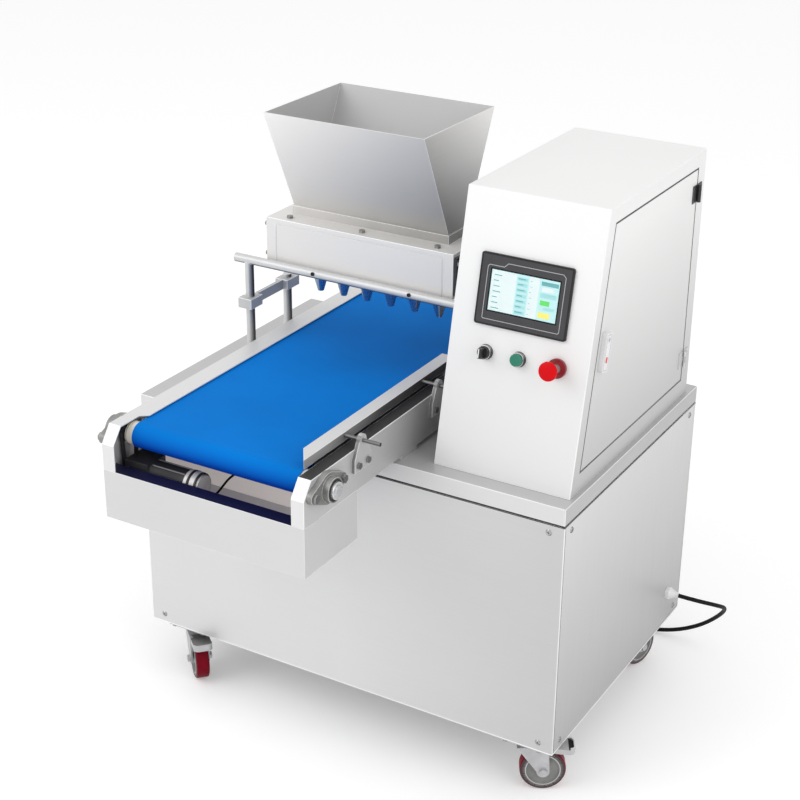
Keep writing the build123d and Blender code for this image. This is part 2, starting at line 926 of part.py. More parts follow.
def conveyor_belt():
    """Endless belt round both rollers."""
    x0 = conveyor_x - belt_width / 2
    x1 = conveyor_x + belt_width / 2
    ends = (front_roller_y, rear_roller_y)
    outer = hull_x([(y, roller_z, belt_outer) for y in ends], x0, x1)
    return outer - hull_x([(y, roller_z, belt_inner) for y in ends], x0, x1)


def roller(y):
    """Roller with its shaft."""
    face_start = (conveyor_x - roller_face / 2, y, roller_z)
    shaft_start = (conveyor_left - shaft_reach, y, roller_z)
    shaft = rod(shaft_start, right, conveyor_width + 2 * shaft_reach, shaft_radius)
    return rod(face_start, right, roller_face, roller_radius) + shaft


def roller_bearings():
    """Two-bolt flange bearings on the outside of the members."""
    pieces = []
    for outer_x, outward in ((conveyor_left, -1), (conveyor_right, 1)):
        direction = (outward, 0, 0)
        flange_face = outer_x + outward * bearing_flange
        for y in (front_roller_y, rear_roller_y):
            half = bearing_spacing / 2
            circles = [
                (y - half, roller_z, bearing_ear_radius),
                (y, roller_z, bearing_waist_radius),
                (y + half, roller_z, bearing_ear_radius),
            ]
            piece = hull_x(circles, *sorted((outer_x, flange_face)))
            seat = (outer_x, y, roller_z)
            piece += rod(seat, direction, bearing_depth, bearing_boss_radius)
            piece += rod(seat, direction, bearing_collar, bearing_collar_radius)
            piece -= rod(seat, direction, bearing_collar, shaft_radius + running_fit)
            piece -= bolt_holes(bearing_bolt_seats(flange_face), direction, large_bolt, bearing_flange)
            pieces.append(piece)
    return group(pieces)


pulley_left = conveyor_x - roller_face / 2 - pulley_gap - pulley_width
motor_face = pulley_left + pulley_width + gearbox_gap


def drive_pulley():
    """Pulley on the front roller's shaft."""
    start = (pulley_left, front_roller_y, roller_z)
    disc = rod(start, right, pulley_width, pulley_radius)
    return disc - rod(start, right, pulley_width, shaft_radius + running_fit)


def motor_pulley():
    """Pulley with its shaft, which turns in the gear motor."""
    start = (pulley_left, front_roller_y, motor_z)
    shaft_length = pulley_width + gearbox_gap + gearbox_length / 2
    disc = rod(start, right, pulley_width, motor_pulley_radius)
    return disc + rod(start, right, shaft_length, motor_shaft_radius)


def timing_belt():
    """Endless belt round the two pulleys."""
    x0 = pulley_left + (pulley_width - timing_belt_width) / 2
    x1 = x0 + timing_belt_width
    wheels = ((roller_z, pulley_radius + running_gap), (motor_z, motor_pulley_radius + running_gap))
    outer = hull_x([(front_roller_y, z, radius + timing_belt_sheet) for z, radius in wheels], x0, x1)
    return outer - hull_x([(front_roller_y, z, radius) for z, radius in wheels], x0, x1)


tray_bottom = member_bottom - tray_height
tray_floor_top = tray_bottom + tray_floor


def conveyor_motor():
    """Gear motor lying in the tray, on a foot."""
    half = gearbox_size / 2
    y = front_roller_y
    box_end = motor_face + gearbox_length
    motor_end = box_end + motor_length
    motor = block(motor_face, box_end, y - half, y + half, motor_z - half, motor_z + half)
    motor += rod((box_end, y, motor_z), right, motor_length, motor_radius)
    motor += rod((motor_end, y, motor_z), right, motor_cap, motor_cap_radius)
    motor += block(motor_face, box_end, y - half, y + half, tray_floor_top, motor_z)
    half_foot = motor_foot_depth / 2
    foot_top = tray_floor_top + motor_foot
    motor += block(motor_face, box_end, y - half_foot, y + half_foot, tray_floor_top, foot_top)
    bore_depth = gearbox_length / 2 + gearbox_gap
    return motor - rod((motor_face, y, motor_z), right, bore_depth, motor_shaft_radius + running_fit)


def front_tray():
    """Sheet tray under the conveyor's front end, its top edge folded in, hung by tabs inside the members."""
    x0, x1 = conveyor_left, conveyor_right
    y0, y1 = conveyor_front, conveyor_front + tray_depth
    tray = block(x0, x1, y0, y1, tray_bottom, member_bottom)
    floor_bottom = tray_floor_top - tray_sheet
    inside = (x0 + tray_sheet, x1 - tray_sheet, y0 + tray_sheet, y1 - tray_sheet)
    tray -= block(*inside, tray_floor_top, member_bottom)
    tray -= block(*inside, tray_bottom, floor_bottom)
    tray += block(x0, x1, y0, y0 + tray_flange, member_bottom - tray_sheet, member_bottom)
    tab_top = member_bottom + tab_height
    tab_bottom = member_bottom - tab_height
    for inner_x, inward in ((x0 + member_sheet, 1), (x1 - member_sheet, -1)):
        wall_x0, wall_x1 = sorted((inner_x - inward * member_sheet, inner_x + inward * tray_sheet))
        tab_x0, tab_x1 = sorted((inner_x, inner_x + inward * tray_sheet))
        for start, end in tray_tab_spans():
            tray += block(tab_x0, tab_x1, start, end, tab_bottom, tab_top)
            tray += block(wall_x0, wall_x1, start, end, tab_bottom, member_bottom)
    tray -= bolt_holes(tab_bolt_seats(x0, 1), right, small_bolt, tray_sheet)
    return tray - bolt_holes(tab_bolt_seats(x1, -1), left, small_bolt, tray_sheet)


rail_right = conveyor_right - rail_offset
rail_left = rail_right - rail_width
rail_top = member_top + rail_height


def guide_rail():
    """Inverted channel beside the product, carried on two rods."""
    y_outer = conveyor_front + rail_front
    y_back = base_front + rail_back

    def slab(x0, x1, z0, z1):
        outline = [
            (x0, y_outer + (rail_right - x0) / rail_width * rail_slope),
            (x1, y_outer + (rail_right - x1) / rail_width * rail_slope),
            (x1, y_back),
            (x0, y_back),
        ]
        return prism_z(outline, z0, z1)

    rail = slab(rail_left, rail_right, rail_top - rail_sheet, rail_top)
    rail += slab(rail_right - rail_sheet, rail_right, rail_top - rail_outer_leg, rail_top)
    rail += slab(rail_left, rail_left + rail_sheet, rail_top - rail_inner_leg, rail_top)
    rod_start = rail_left + rail_sheet
    length = conveyor_right + guide_rod_reach - rod_start
    for y in bracket_rod_places():
        rail += rod((rod_start, y, guide_rod_z), right, length, guide_rod_radius)
    return rail


def guide_brackets():
    """Plates on the right member that hold the guide rods."""
    x0 = conveyor_right
    x1 = x0 + bracket_sheet
    pieces = []
    for y in bracket_rod_places():
        half = bracket_width / 2
        outline = [
            (y - half, bracket_bottom),
            (y + half, bracket_bottom),
            (y + half, bracket_bottom + 2 * bracket_bolt_rise),
            (y + bracket_head_radius, guide_rod_z),
            (y - bracket_head_radius, guide_rod_z),
            (y - half, bracket_bottom + 2 * bracket_bolt_rise),
        ]
        piece = prism_x(outline, x0, x1)
        piece += rod((x0, y, guide_rod_z), right, bracket_sheet, bracket_head_radius)
        piece -= rod((x0, y, guide_rod_z), right, bracket_sheet, guide_rod_radius + running_fit)
        pieces.append(piece - bolt_holes(bracket_bolt_seats(), right, medium_bolt, bracket_sheet))
    return group(pieces)


# Feed head

def end_bolt_seats():
    """Bolt seats on the head's left end, by its front cover and its back wall."""
    ys = (head_front + head_wall / 2, head_back - head_wall / 2)
    zs = (head_bottom + end_bolt_inset, head_top - end_bolt_inset)
    return [(head_left, y, z) for y in ys for z in zs]


end_bolt_depth = end_plate + head_wall


def top_bolt_seats():
    """Bolt seats on the head's top, over the front cover's ledge."""
    y = head_front + top_bolt_inset
    return [(conveyor_x + place * top_bolt_spacing, y, head_top) for place in (-1, 0, 1)]


top_bolt_depth = 2 * head_wall - bolt_tip_gap


def carrier_bolt_seats(x):
    """Bolt seats on one flange of the head carrier."""
    reach = carrier_width / 2 + carrier_ear / 2
    return [(x, head_y + sy * reach, feed_z + sz * carrier_bolt_rise) for sy in (-1, 1) for sz in (-1, 1)]


carrier_bolt_depth = carrier_flange + end_plate / 2
wall_bolt_depth = carrier_flange + cabinet_sheet + 2 * medium_bolt


def nozzle_plate_bolt_seats():
    """Bolt seats under the nozzle plate."""
    reach_x = nozzle_plate_length / 2 - end_bolt_inset / 2
    reach_y = nozzle_plate_depth / 2 - end_bolt_inset / 2
    xs = (conveyor_x - reach_x, conveyor_x + reach_x)
    ys = (head_y - reach_y, head_y + reach_y)
    return [(x, y, nozzle_plate_bottom) for x in xs for y in ys]


nozzle_plate_bolt_depth = nozzle_plate_height + head_wall - bolt_tip_gap


def head_cavity():
    """Half length of the space between the head's end plates."""
    return head_length / 2 - end_plate


def head_body():
    """End plates, top, bottom and back wall of the feed head, with slots for the dough."""
    inner = head_cavity()
    body = block(head_left, head_right, head_front, head_back, head_bottom, head_top)
    x0, x1 = conveyor_x - inner, conveyor_x + inner
    floor = head_bottom + head_wall
    ceiling = head_top - head_wall
    body -= block(x0, x1, head_front, head_back - head_wall, floor, ceiling)
    body -= block(x0, x1, head_front, head_front + head_wall, head_bottom, ceiling)
    half_length = hopper_length / 2 - hopper_sheet
    half_neck = hopper_neck_depth / 2 - hopper_sheet
    slot_x = (conveyor_x - half_length, conveyor_x + half_length)
    body -= block(*slot_x, head_y - half_neck, head_y + half_neck, ceiling, head_top)
    half_channel = channel_width / 2
    body -= block(*slot_x, head_y - half_channel, head_y + half_channel, head_bottom, floor)
    bore = feed_shaft_radius + running_fit
    for y in (front_feed_y, rear_feed_y):
        body -= rod((x0, y, feed_z), left, feed_journal + feed_end_gap, bore)
        body -= rod((x1, y, feed_z), right, end_plate, bore)
    body -= bolt_holes(end_bolt_seats(), left, small_bolt, end_bolt_depth)
    body -= bolt_holes(top_bolt_seats(), up, medium_bolt, top_bolt_depth)
    body -= bolt_holes(nozzle_plate_bolt_seats(), down, small_bolt, nozzle_plate_bolt_depth)
    seats = carrier_bolt_seats(head_right + carrier_flange)
    return body - bolt_holes(seats, right, medium_bolt, carrier_bolt_depth)


def head_front_cover():
    """Front plate of the head, with a ledge under the top plate."""
    inner = head_cavity()
    ceiling = head_top - head_wall
    x0, x1 = conveyor_x - inner, conveyor_x + inner
    cover = block(x0, x1, head_front, head_front + head_wall, head_bottom, ceiling)
    cover += block(x0, x1, head_front, head_front + cover_ledge, ceiling - head_wall, ceiling)
    cover -= bolt_holes(end_bolt_seats(), left, small_bolt, end_bolt_depth)
    return cover - bolt_holes(top_bolt_seats(), up, medium_bolt, top_bolt_depth)


gear_left = head_right + gear_offset
gear_right = gear_left + gear_width


def feed_roller(y, shaft_end):
    """Feed roller with its journals; the right one ends at a place along X."""
    inner = head_cavity() - feed_end_gap
    x0, x1 = conveyor_x - inner, conveyor_x + inner
    body = rod((x0, y, feed_z), right, x1 - x0, feed_radius)
    journal = x0 - feed_journal
    return body + rod((journal, y, feed_z), right, shaft_end - journal, feed_shaft_radius)


def gear_outline(turn):
    """Points of an involute gear's outline, turned by an angle in radians."""
    pitch = gear_module * gear_teeth / 2
    base = pitch * math.cos(math.radians(pressure_angle))
    tip = pitch + gear_module
    root = pitch - gear_root_ratio * gear_module

    def half_angle(radius):
        working = math.acos(min(1.0, base / radius))
        start = math.radians(pressure_angle)
        thickness = math.pi / (2 * gear_teeth) - gear_backlash / (2 * pitch)
        return thickness + math.tan(start) - start - math.tan(working) + working

    radii = [base + (tip - base) * step / flank_steps for step in range(flank_steps + 1)]
    flank = [(root, half_angle(base))] + [(radius, half_angle(radius)) for radius in radii]
    points = []
    for tooth in range(gear_teeth):
        middle = turn + 2 * math.pi * tooth / gear_teeth
        points += [(radius, middle - angle) for radius, angle in flank]
        points += [(radius, middle + angle) for radius, angle in reversed(flank)]
    return [(radius * math.cos(angle), radius * math.sin(angle)) for radius, angle in points]


def feed_gear(y, turn):
    """Gear on a feed roller's shaft."""
    outline = [(y + a, feed_z + b) for a, b in gear_outline(turn)]
    gear = prism_x(outline, gear_left, gear_right)
    return gear - rod((gear_left, y, feed_z), right, gear_width, feed_shaft_radius + running_fit)


def head_carrier():
    """Rectangular tube with bolted flanges between the head and the cabinet."""
    def box(half_y, half_z, x0, x1):
        return block(x0, x1, head_y - half_y, head_y + half_y, feed_z - half_z, feed_z + half_z)

    half_y = carrier_width / 2
    half_z = carrier_height / 2
    x0, x1 = head_right, cabinet_left
    carrier = box(half_y, half_z, x0, x1)
    carrier += box(half_y + carrier_ear, half_z, x0, x0 + carrier_flange)
    carrier += box(half_y + carrier_ear, half_z, x1 - carrier_flange, x1)
    carrier -= box(half_y - carrier_wall, half_z - carrier_wall, x0, x1)
    carrier -= bolt_holes(carrier_bolt_seats(x0 + carrier_flange), right, medium_bolt, carrier_flange)
    return carrier - bolt_holes(carrier_bolt_seats(x1 - carrier_flange), left, medium_bolt, carrier_flange)


def hopper_outline(inset):
    """Hopper end outline as (y, z), set in by the sheet's horizontal thickness."""
    neck = hopper_neck_depth / 2 - inset
    top = hopper_top_depth / 2 - inset
    z0 = head_top
    z1 = head_top + collar_height + collar_groove
    z2 = head_top + hopper_height
    return [
        (head_y - neck, z0),
        (head_y + neck, z0),
        (head_y + neck, z1),
        (head_y + top, z2),
        (head_y - top, z2),
        (head_y - neck, z1),
    ]


def hopper():
    """Open hopper with sloping front and back walls, on a stepped collar."""
    half = hopper_length / 2
    shell = prism_x(hopper_outline(0), conveyor_x - half, conveyor_x + half)
    reach_x = half + collar_step
    reach_y = hopper_neck_depth / 2 + collar_step
    collar_x = (conveyor_x - reach_x, conveyor_x + reach_x)
    shell += block(*collar_x, head_y - reach_y, head_y + reach_y, head_top, head_top + collar_height)
    inner = half - hopper_sheet
    return shell - prism_x(hopper_outline(hopper_sheet), conveyor_x - inner, conveyor_x + inner)


def nozzle_places():
    """Nozzle axes along X."""
    first = conveyor_x - nozzle_pitch * (nozzle_count - 1) / 2
    return [first + nozzle_pitch * number for number in range(nozzle_count)]


def nozzle_plate():
    """Plate under the head that spreads the dough to the nozzles."""
    half_x = nozzle_plate_length / 2
    half_y = nozzle_plate_depth / 2
    x0, x1 = conveyor_x - half_x, conveyor_x + half_x
    plate = block(x0, x1, head_y - half_y, head_y + half_y, nozzle_plate_bottom, head_bottom)
    half_channel = hopper_length / 2 - hopper_sheet
    half_width = channel_width / 2
    channel_x = (conveyor_x - half_channel, conveyor_x + half_channel)
    channel_y = (head_y - half_width, head_y + half_width)
    plate -= block(*channel_x, *channel_y, head_bottom - channel_depth, head_bottom)
    for x in nozzle_places():
        start = (x, head_y, nozzle_plate_bottom)
        plate -= rod(start, up, nozzle_neck + bolt_tip_gap, nozzle_neck_radius + bolt_clearance)
        plate -= rod(start, up, nozzle_plate_height, nozzle_neck_radius / 2)
    return plate - bolt_holes(nozzle_plate_bolt_seats(), down, small_bolt, nozzle_plate_height)


def nozzles():
    """Conical nozzles screwed into the nozzle plate."""
    top = nozzle_plate_bottom
    tip = top - nozzle_length
    rim = top - nozzle_rim
    pieces = []
    for x in nozzle_places():
        cone = Cone(nozzle_tip_radius, nozzle_radius, rim - tip)
        piece = Pos(x, head_y, (tip + rim) / 2) * cone
        piece += rod((x, head_y, rim), up, nozzle_rim, nozzle_radius)
        piece += rod((x, head_y, top), up, nozzle_neck, nozzle_neck_radius)
        pieces.append(piece - rod((x, head_y, tip), up, nozzle_length + nozzle_neck, nozzle_bore))
    return group(pieces)


def feed_motor_bolt_seats():
    """Bolt seats on the feed motor's flange, inside the cabinet."""
    x = cabinet_left + cabinet_sheet + feed_motor_sheet
    half = feed_motor_bolts / 2
    return [(x, front_feed_y + sy * half, feed_z + sz * half) for sy in (-1, 1) for sz in (-1, 1)]


feed_motor_bolt_depth = feed_motor_sheet + cabinet_sheet
feed_shaft_end = cabinet_left + cabinet_sheet + feed_motor_sheet + feed_gearbox_length / 2


def feed_motor():
    """Gear motor on the cabinet's left wall, with a bore for the front feed shaft."""
    x = cabinet_left + cabinet_sheet
    half = feed_motor_flange / 2
    y = front_feed_y
    box_start = x + feed_motor_sheet
    box_end = box_start + feed_gearbox_length
    motor = block(x, box_start, y - half, y + half, feed_z - half, feed_z + half)
    half_box = feed_gearbox_size / 2
    motor += block(box_start, box_end, y - half_box, y + half_box, feed_z - half_box, feed_z + half_box)
    motor += rod((box_end, y, feed_z), right, feed_motor_length, feed_motor_radius)
    bore = feed_shaft_end - x + bolt_tip_gap
    motor -= rod((x, y, feed_z), right, bore, feed_shaft_radius + running_fit)
    return motor - bolt_holes(feed_motor_bolt_seats(), right, small_bolt, feed_motor_sheet)


# Cutter

def cutter_bar():
    """Cross bar with the lifting post welded under its left end."""
    start = (-bar_left, post_y, bar_z)
    bar = rod(start, right, cabinet_left + bar_inside + bar_left, bar_radius)
    post_bottom = deck_top - post_below
    return bar + rod((post_x, post_y, post_bottom), up, bar_z - post_bottom, bar_radius)


def post_clamp(y, width, depth):
    """Split clamp block round a post."""
    z0 = link_z - clamp_height / 2
    z1 = link_z + clamp_height / 2
    block_x = (post_x - width / 2, post_x + width / 2)
    clamp = block(*block_x, y - depth / 2, y + depth / 2, z0, z1)
    clamp -= rod((post_x, y, z0), up, clamp_height, bar_radius + running_fit)
    half_slit = clamp_slit / 2
    return clamp - block(post_x - width / 2, post_x, y - half_slit, y + half_slit, z0, z1)


def post_clamps():
    """Clamps on the lifting post and on the guide post."""
    front_clamp = post_clamp(post_y, front_clamp_width, front_clamp_depth)
    rear_clamp = post_clamp(guide_post_y, rear_clamp_width, rear_clamp_depth)
    return group([front_clamp, rear_clamp])


def link_bar():
    """Flat bar between the two clamps."""
    half = link_sheet / 2
    y0 = post_y + front_clamp_depth / 2
    y1 = guide_post_y - rear_clamp_depth / 2
    return block(post_x - half, post_x + half, y0, y1, link_z - clamp_height / 2, link_z + clamp_height / 2)


def guide_post():
    """Fixed post on a flange, with a stud through the deck."""
    post = rod((post_x, guide_post_y, deck_top), up, guide_post_rise, bar_radius)
    post += rod((post_x, guide_post_y, deck_top), up, post_flange, post_flange_radius)
    return post + rod((post_x, guide_post_y, deck_top), down, stud_length, stud_radius)


def lift_actuator():
    """Lifting cylinder under the deck; its nose comes up through the deck round the post."""
    half = actuator_flange / 2
    flange_bottom = frame_top - actuator_flange_sheet
    flange = block(post_x - half, post_x + half, post_y - half, post_y + half, flange_bottom, frame_top)
    body = flange + rod((post_x, post_y, flange_bottom), down, actuator_length, actuator_radius)
    nose_top = deck_top + nose_rise
    body += rod((post_x, post_y, frame_top), up, nose_top - frame_top, nose_radius)
    body -= rod((post_x, post_y, nose_top), down, nose_rise + actuator_bore, bar_radius + running_fit)
    return body - bolt_holes(actuator_bolt_seats(), up, small_bolt, actuator_bolt_depth)


# Control cabinet

def cabinet_outline():
    """Side outline of the cabinet as (y, z)."""
    return [
        (cabinet_front_y, deck_top),
        (cabinet_back_y, deck_top),
        (cabinet_back_y, cabinet_top),
        (cabinet_front_y + cabinet_slope, cabinet_top),
    ]


def inner_outline(thickness):
    """Cabinet outline set in by a thickness on every side."""
    edge = thickness / math.cos(slant)
    z0 = deck_top + thickness
    z1 = cabinet_top - thickness
    return [
        (cabinet_front_y + thickness * math.tan(slant) + edge, z0),
        (cabinet_back_y - thickness, z0),
        (cabinet_back_y - thickness, z1),
        (cabinet_front_y + cabinet_slope - thickness * math.tan(slant) + edge, z1),
    ]


def door_outline(grow):
    """Door outline as (y, z), grown by an amount on every side."""
    z0 = deck_top + door_bottom - grow
    z1 = cabinet_top - door_top + grow
    edge = (door_front - grow) / math.cos(slant)
    y1 = cabinet_back_y - door_back + grow
    return [
        (cabinet_front_y + (z0 - deck_top) * math.tan(slant) + edge, z0),
        (y1, z0),
        (y1, z1),
        (cabinet_front_y + (z1 - deck_top) * math.tan(slant) + edge, z1),
    ]


slanted_front = Plane(
    origin=(cabinet_left, cabinet_front_y, deck_top),
    x_dir=right,
    z_dir=(0, -math.cos(slant), math.sin(slant)),
).location

hinge_x = cabinet_right + hinge_rise
hinge_y = cabinet_back_y - door_back + door_gap / 2
hinge_low = deck_top + door_bottom + hinge_inset
hinge_high = cabinet_top - door_top - hinge_inset


def hinge_leaf_x():
    """X span of the hinge leaves on the wall's outer face."""
    return (cabinet_right, cabinet_right + hinge_leaf_sheet)


def hinge_barrel(z0, z1, toward):
    """Hinge knuckle with its tongue towards +Y or -Y."""
    barrel = rod((hinge_x, hinge_y, z0), up, z1 - z0, hinge_barrel_radius)
    y0, y1 = sorted((hinge_y, hinge_y + toward * hinge_relief))
    return barrel + block(*hinge_leaf_x(), y0, y1, z0, z1)


def fixed_hinges():
    """Cabinet halves of the hinges: leaf, two outer knuckles and the pin."""
    pieces = []
    for z in (hinge_low, hinge_high):
        half = hinge_knuckle / 2
        end = half + hinge_gap + hinge_knuckle
        leaf_y = (hinge_y + hinge_relief, hinge_y + hinge_leaf)
        pieces.append(block(*hinge_leaf_x(), *leaf_y, z - end, z + end))
        pieces.append(hinge_barrel(z - end, z - half - hinge_gap, 1))
        pieces.append(hinge_barrel(z + half + hinge_gap, z + end, 1))
        pieces.append(rod((hinge_x, hinge_y, z - end), up, 2 * end, hinge_pin_radius))
    return pieces


def screen_box(margin, low, high):
    """Box on the slanted front over the operator panel, set in by a margin."""
    width = screen_width - 2 * margin
    height = screen_height - 2 * margin
    middle = Pos(screen_left + screen_width / 2, screen_low + screen_height / 2, (low + high) / 2)
    return slanted_front * middle * Box(width, height, high - low)


def on_front(place, low, high, radius):
    """Cylinder square to the slanted front, in the row of buttons."""
    return slanted_front * Pos(place, button_rise, (low + high) / 2) * Cylinder(radius, high - low)


button_places = (selector_place, green_place, stop_place)


def control_cabinet():
    """Sheet cabinet with a sloping front, a door opening and the fixed hinge halves."""
    cabinet = prism_x(cabinet_outline(), cabinet_left, cabinet_right)
    cabinet -= prism_x(inner_outline(cabinet_sheet), cabinet_left + cabinet_sheet, wall_x)
    floor_x = (cabinet_left + cabinet_flange, cabinet_right - cabinet_flange)
    floor_y = (cabinet_front_y + cabinet_front_flange, cabinet_back_y - cabinet_flange)
    cabinet -= block(*floor_x, *floor_y, deck_top, deck_top + cabinet_sheet)
    cabinet += prism_x(door_outline(door_gap + stop_root), wall_x - stop_sheet, wall_x)
    cabinet -= prism_x(door_outline(-stop_lap), wall_x - stop_sheet, wall_x)
    cabinet -= prism_x(door_outline(door_gap), wall_x, cabinet_right)
    cabinet += fixed_hinges()
    cabinet -= screen_box(screen_body_margin - bolt_clearance, -screen_body, 0)
    for place in button_places:
        cabinet -= on_front(place, -barrel_length, 0, barrel_radius + bolt_clearance)
    slot_half = bar_radius + slot_gap
    slot_y = (post_y - slot_half, post_y + slot_half)
    slot_z = (bar_z - cutter_travel - slot_half, bar_z + slot_half)
    cabinet -= block(cabinet_left, cabinet_left + cabinet_sheet, *slot_y, *slot_z)
    cabinet -= rod((cabinet_left, front_feed_y, feed_z), right, cabinet_sheet, shaft_passage)
    carrier_seats = carrier_bolt_seats(cabinet_left - carrier_flange)
    cabinet -= bolt_holes(carrier_seats, left, medium_bolt, wall_bolt_depth)
    cabinet -= bolt_holes(feed_motor_bolt_seats(), right, small_bolt, feed_motor_bolt_depth)
    return cabinet - bolt_holes(cabinet_bolt_seats(), up, medium_bolt, cabinet_sheet)


latch_y = hinge_y - latch_from_hinge
latch_z = deck_top + latch_rise
latch_pivot_y = latch_y + latch_pivot * math.sin(slant)
latch_pivot_z = latch_z + latch_pivot * math.cos(slant)
latch_across = (0, math.cos(slant), -math.sin(slant))
latch_place = Plane(origin=(cabinet_right, latch_y, latch_z), x_dir=latch_across, z_dir=right).location


def latch_plate(thickness):
    """Plate with round corners, in the latch's outline."""
    plate = Box(latch_width, latch_length, thickness)
    return fillet(plate.edges().filter_by(Axis.Z), latch_corner)


def cabinet_door():
    """Flush door with its hinge knuckles and the latch's base plate."""
    door = prism_x(door_outline(0), wall_x, cabinet_right)
    for z in (hinge_low, hinge_high):
        half = hinge_knuckle / 2
        leaf_y = (hinge_y - hinge_leaf, hinge_y - hinge_relief)
        end = half + hinge_gap + hinge_knuckle
        door += block(*hinge_leaf_x(), *leaf_y, z - end, z + end)
        knuckle = hinge_barrel(z - half, z + half, -1)
        door += knuckle - rod((hinge_x, hinge_y, z - half), up, 2 * half, hinge_pin_radius + running_fit)
    door += latch_place * Pos(0, 0, latch_base / 2) * latch_plate(latch_base)
    through = latch_base + cabinet_sheet
    start = (wall_x, latch_pivot_y, latch_pivot_z)
    return door - rod(start, right, through, latch_shaft_radius + running_fit)


def latch_handle():
    """Flat handle on a shaft through the door, with a cam behind it."""
    low = latch_base + running_gap
    handle = latch_place * Pos(0, 0, low + latch_thickness / 2) * latch_plate(latch_thickness)
    cam_right = wall_x - stop_sheet - latch_cam_gap
    cam_left = cam_right - latch_cam_sheet
    shaft_start = (cam_left, latch_pivot_y, latch_pivot_z)
    handle += rod(shaft_start, right, cabinet_right + low - cam_left, latch_shaft_radius)
    half = latch_cam_width / 2
    cam = Box(latch_cam_width, half + latch_cam_reach, latch_cam_sheet)
    cam_middle = latch_pivot + (latch_cam_reach - half) / 2
    cam_depth = (cam_left + cam_right) / 2 - cabinet_right
    return handle + latch_place * Pos(0, cam_middle, cam_depth) * cam


def electrical_panel():
    """Mounting plate on standoffs from the back wall, with rails and modules."""
    wall_y = cabinet_back_y - cabinet_sheet
    plate_back = wall_y - plate_standoff
    plate_front = plate_back - plate_sheet
    x0 = cabinet_left + plate_side_margin
    x1 = cabinet_right - plate_side_margin
    z0 = deck_top + plate_low
    z1 = z0 + plate_height
    plate = block(x0, x1, plate_front, plate_back, z0, z1)
    inset = plate_standoff
    for x in (x0 + inset, x1 - inset):
        for z in (z0 + inset, z1 - inset):
            plate += rod((x, plate_back, z), back, plate_standoff, plate_standoff / 2)
    pieces = [plate]
    rail_front_y = plate_front - rail_strip_sheet
    step = (x1 - x0 - 2 * inset) / len(module_depths)
    half_strip = rail_strip / 2
    half_module = module_height / 2
    for share in rail_shares:
        z = z0 + share * plate_height
        strip_z = (z - half_strip, z + half_strip)
        module_z = (z - half_module, z + half_module)
        pieces.append(block(x0 + inset, x1 - inset, rail_front_y, plate_front, *strip_z))
        for number, depth in enumerate(module_depths):
            start = x0 + inset + number * step
            module_x = (start, start + step - module_gap)
            pieces.append(block(*module_x, rail_front_y - depth, rail_front_y, *module_z))
    return group(pieces)


def hmi_panel():
    """Operator panel: bezel on the slanted front, body behind it, recessed screen."""
    bezel = screen_box(0, 0, screen_bezel)
    bezel = fillet(bezel.edges().group_by(SortBy.LENGTH)[0], screen_corner)
    panel = bezel + screen_box(screen_body_margin, -screen_body, 0)
    view_depth = screen_bezel - screen_recess / 2
    middle = Pos(screen_left + screen_width / 2, screen_low + screen_height / 2, view_depth)
    return panel - slanted_front * middle * Box(screen_view_width, screen_view_height, screen_recess)


def bezel(place):
    """Ring of a button or switch, with its barrel through the front."""
    ring = on_front(place, 0, bezel_height, bezel_radius)
    ring += on_front(place, -barrel_length, 0, barrel_radius)
    ring -= on_front(place, bezel_floor, bezel_height, cap_radius + running_fit)
    return ring - on_front(place, -barrel_length, bezel_floor, stem_radius + running_fit)


def button_bezels():
    """Rings of the selector and the button, and the collar of the stop button."""
    collar = on_front(stop_place, 0, collar_thickness, collar_radius)
    collar += on_front(stop_place, -barrel_length, 0, barrel_radius)
    collar -= on_front(stop_place, -barrel_length, collar_thickness, neck_radius + running_fit)
    return group([bezel(selector_place), bezel(green_place), collar])


def selector_knob():
    """Rotary selector with a grip bar."""
    knob = on_front(selector_place, cap_low, knob_high, cap_radius)
    knob += on_front(selector_place, -stem_depth, cap_low, stem_radius)
    grip_height = grip_high - knob_high
    place = Pos(selector_place, button_rise, knob_high + grip_height / 2)
    return knob + slanted_front * place * Box(grip_width, 2 * cap_radius - grip_width / 2, grip_height)


def green_button():
    """Push button cap on its stem."""
    cap = on_front(green_place, cap_low, cap_high, cap_radius)
    return cap + on_front(green_place, -stem_depth, cap_low, stem_radius)


def estop_button():
    """Mushroom head on its neck."""
    head = on_front(stop_place, mushroom_low, mushroom_high, mushroom_radius)
    head = fillet(head.edges().filter_by(GeomType.CIRCLE), mushroom_round)
    return head + on_front(stop_place, -stem_depth, mushroom_low + mushroom_round, neck_radius)


# Mains lead

gland_tip = side_x + gland_length
coil_x = side_x - coil_inset
coil_y = base_back + coil_behind
coil_outer_radius = coil_middle_radius + coil_pitch * coil_turns / 2
coil_inner_radius = coil_middle_radius - coil_pitch * coil_turns / 2
coil_low = cord_radius
coil_high = cord_radius + coil_pitch
coil_start = (coil_x + coil_end, coil_y - coil_outer_radius, coil_low)
plug_start = (coil_x + plug_lead, coil_y + coil_outer_radius, coil_high)


def gland():
    """Cable gland: thread and nut in the panel, dome and tapered sleeve outside."""
    seat = gland_seat()
    body = rod(seat, left, gland_thread, gland_thread_radius)
    nut = extrude(RegularPolygon(gland_nut_flats, 6, major_radius=False), gland_nut)
    body += Plane(origin=seat, z_dir=right).location * nut
    dome_start = (side_x + gland_nut, seat[1], seat[2])
    dome = Cone(gland_nut_flats - gland_step, cord_radius + sleeve_wall, gland_dome)
    body += Plane(origin=dome_start, z_dir=right).location * Pos(0, 0, gland_dome / 2) * dome
    sleeve_length = gland_length - gland_nut - gland_dome
    sleeve = Cone(cord_radius + sleeve_wall, cord_radius + sleeve_tip_wall, sleeve_length)
    sleeve_start = (dome_start[0] + gland_dome, seat[1], seat[2])
    return body + Plane(origin=sleeve_start, z_dir=right).location * Pos(0, 0, sleeve_length / 2) * sleeve


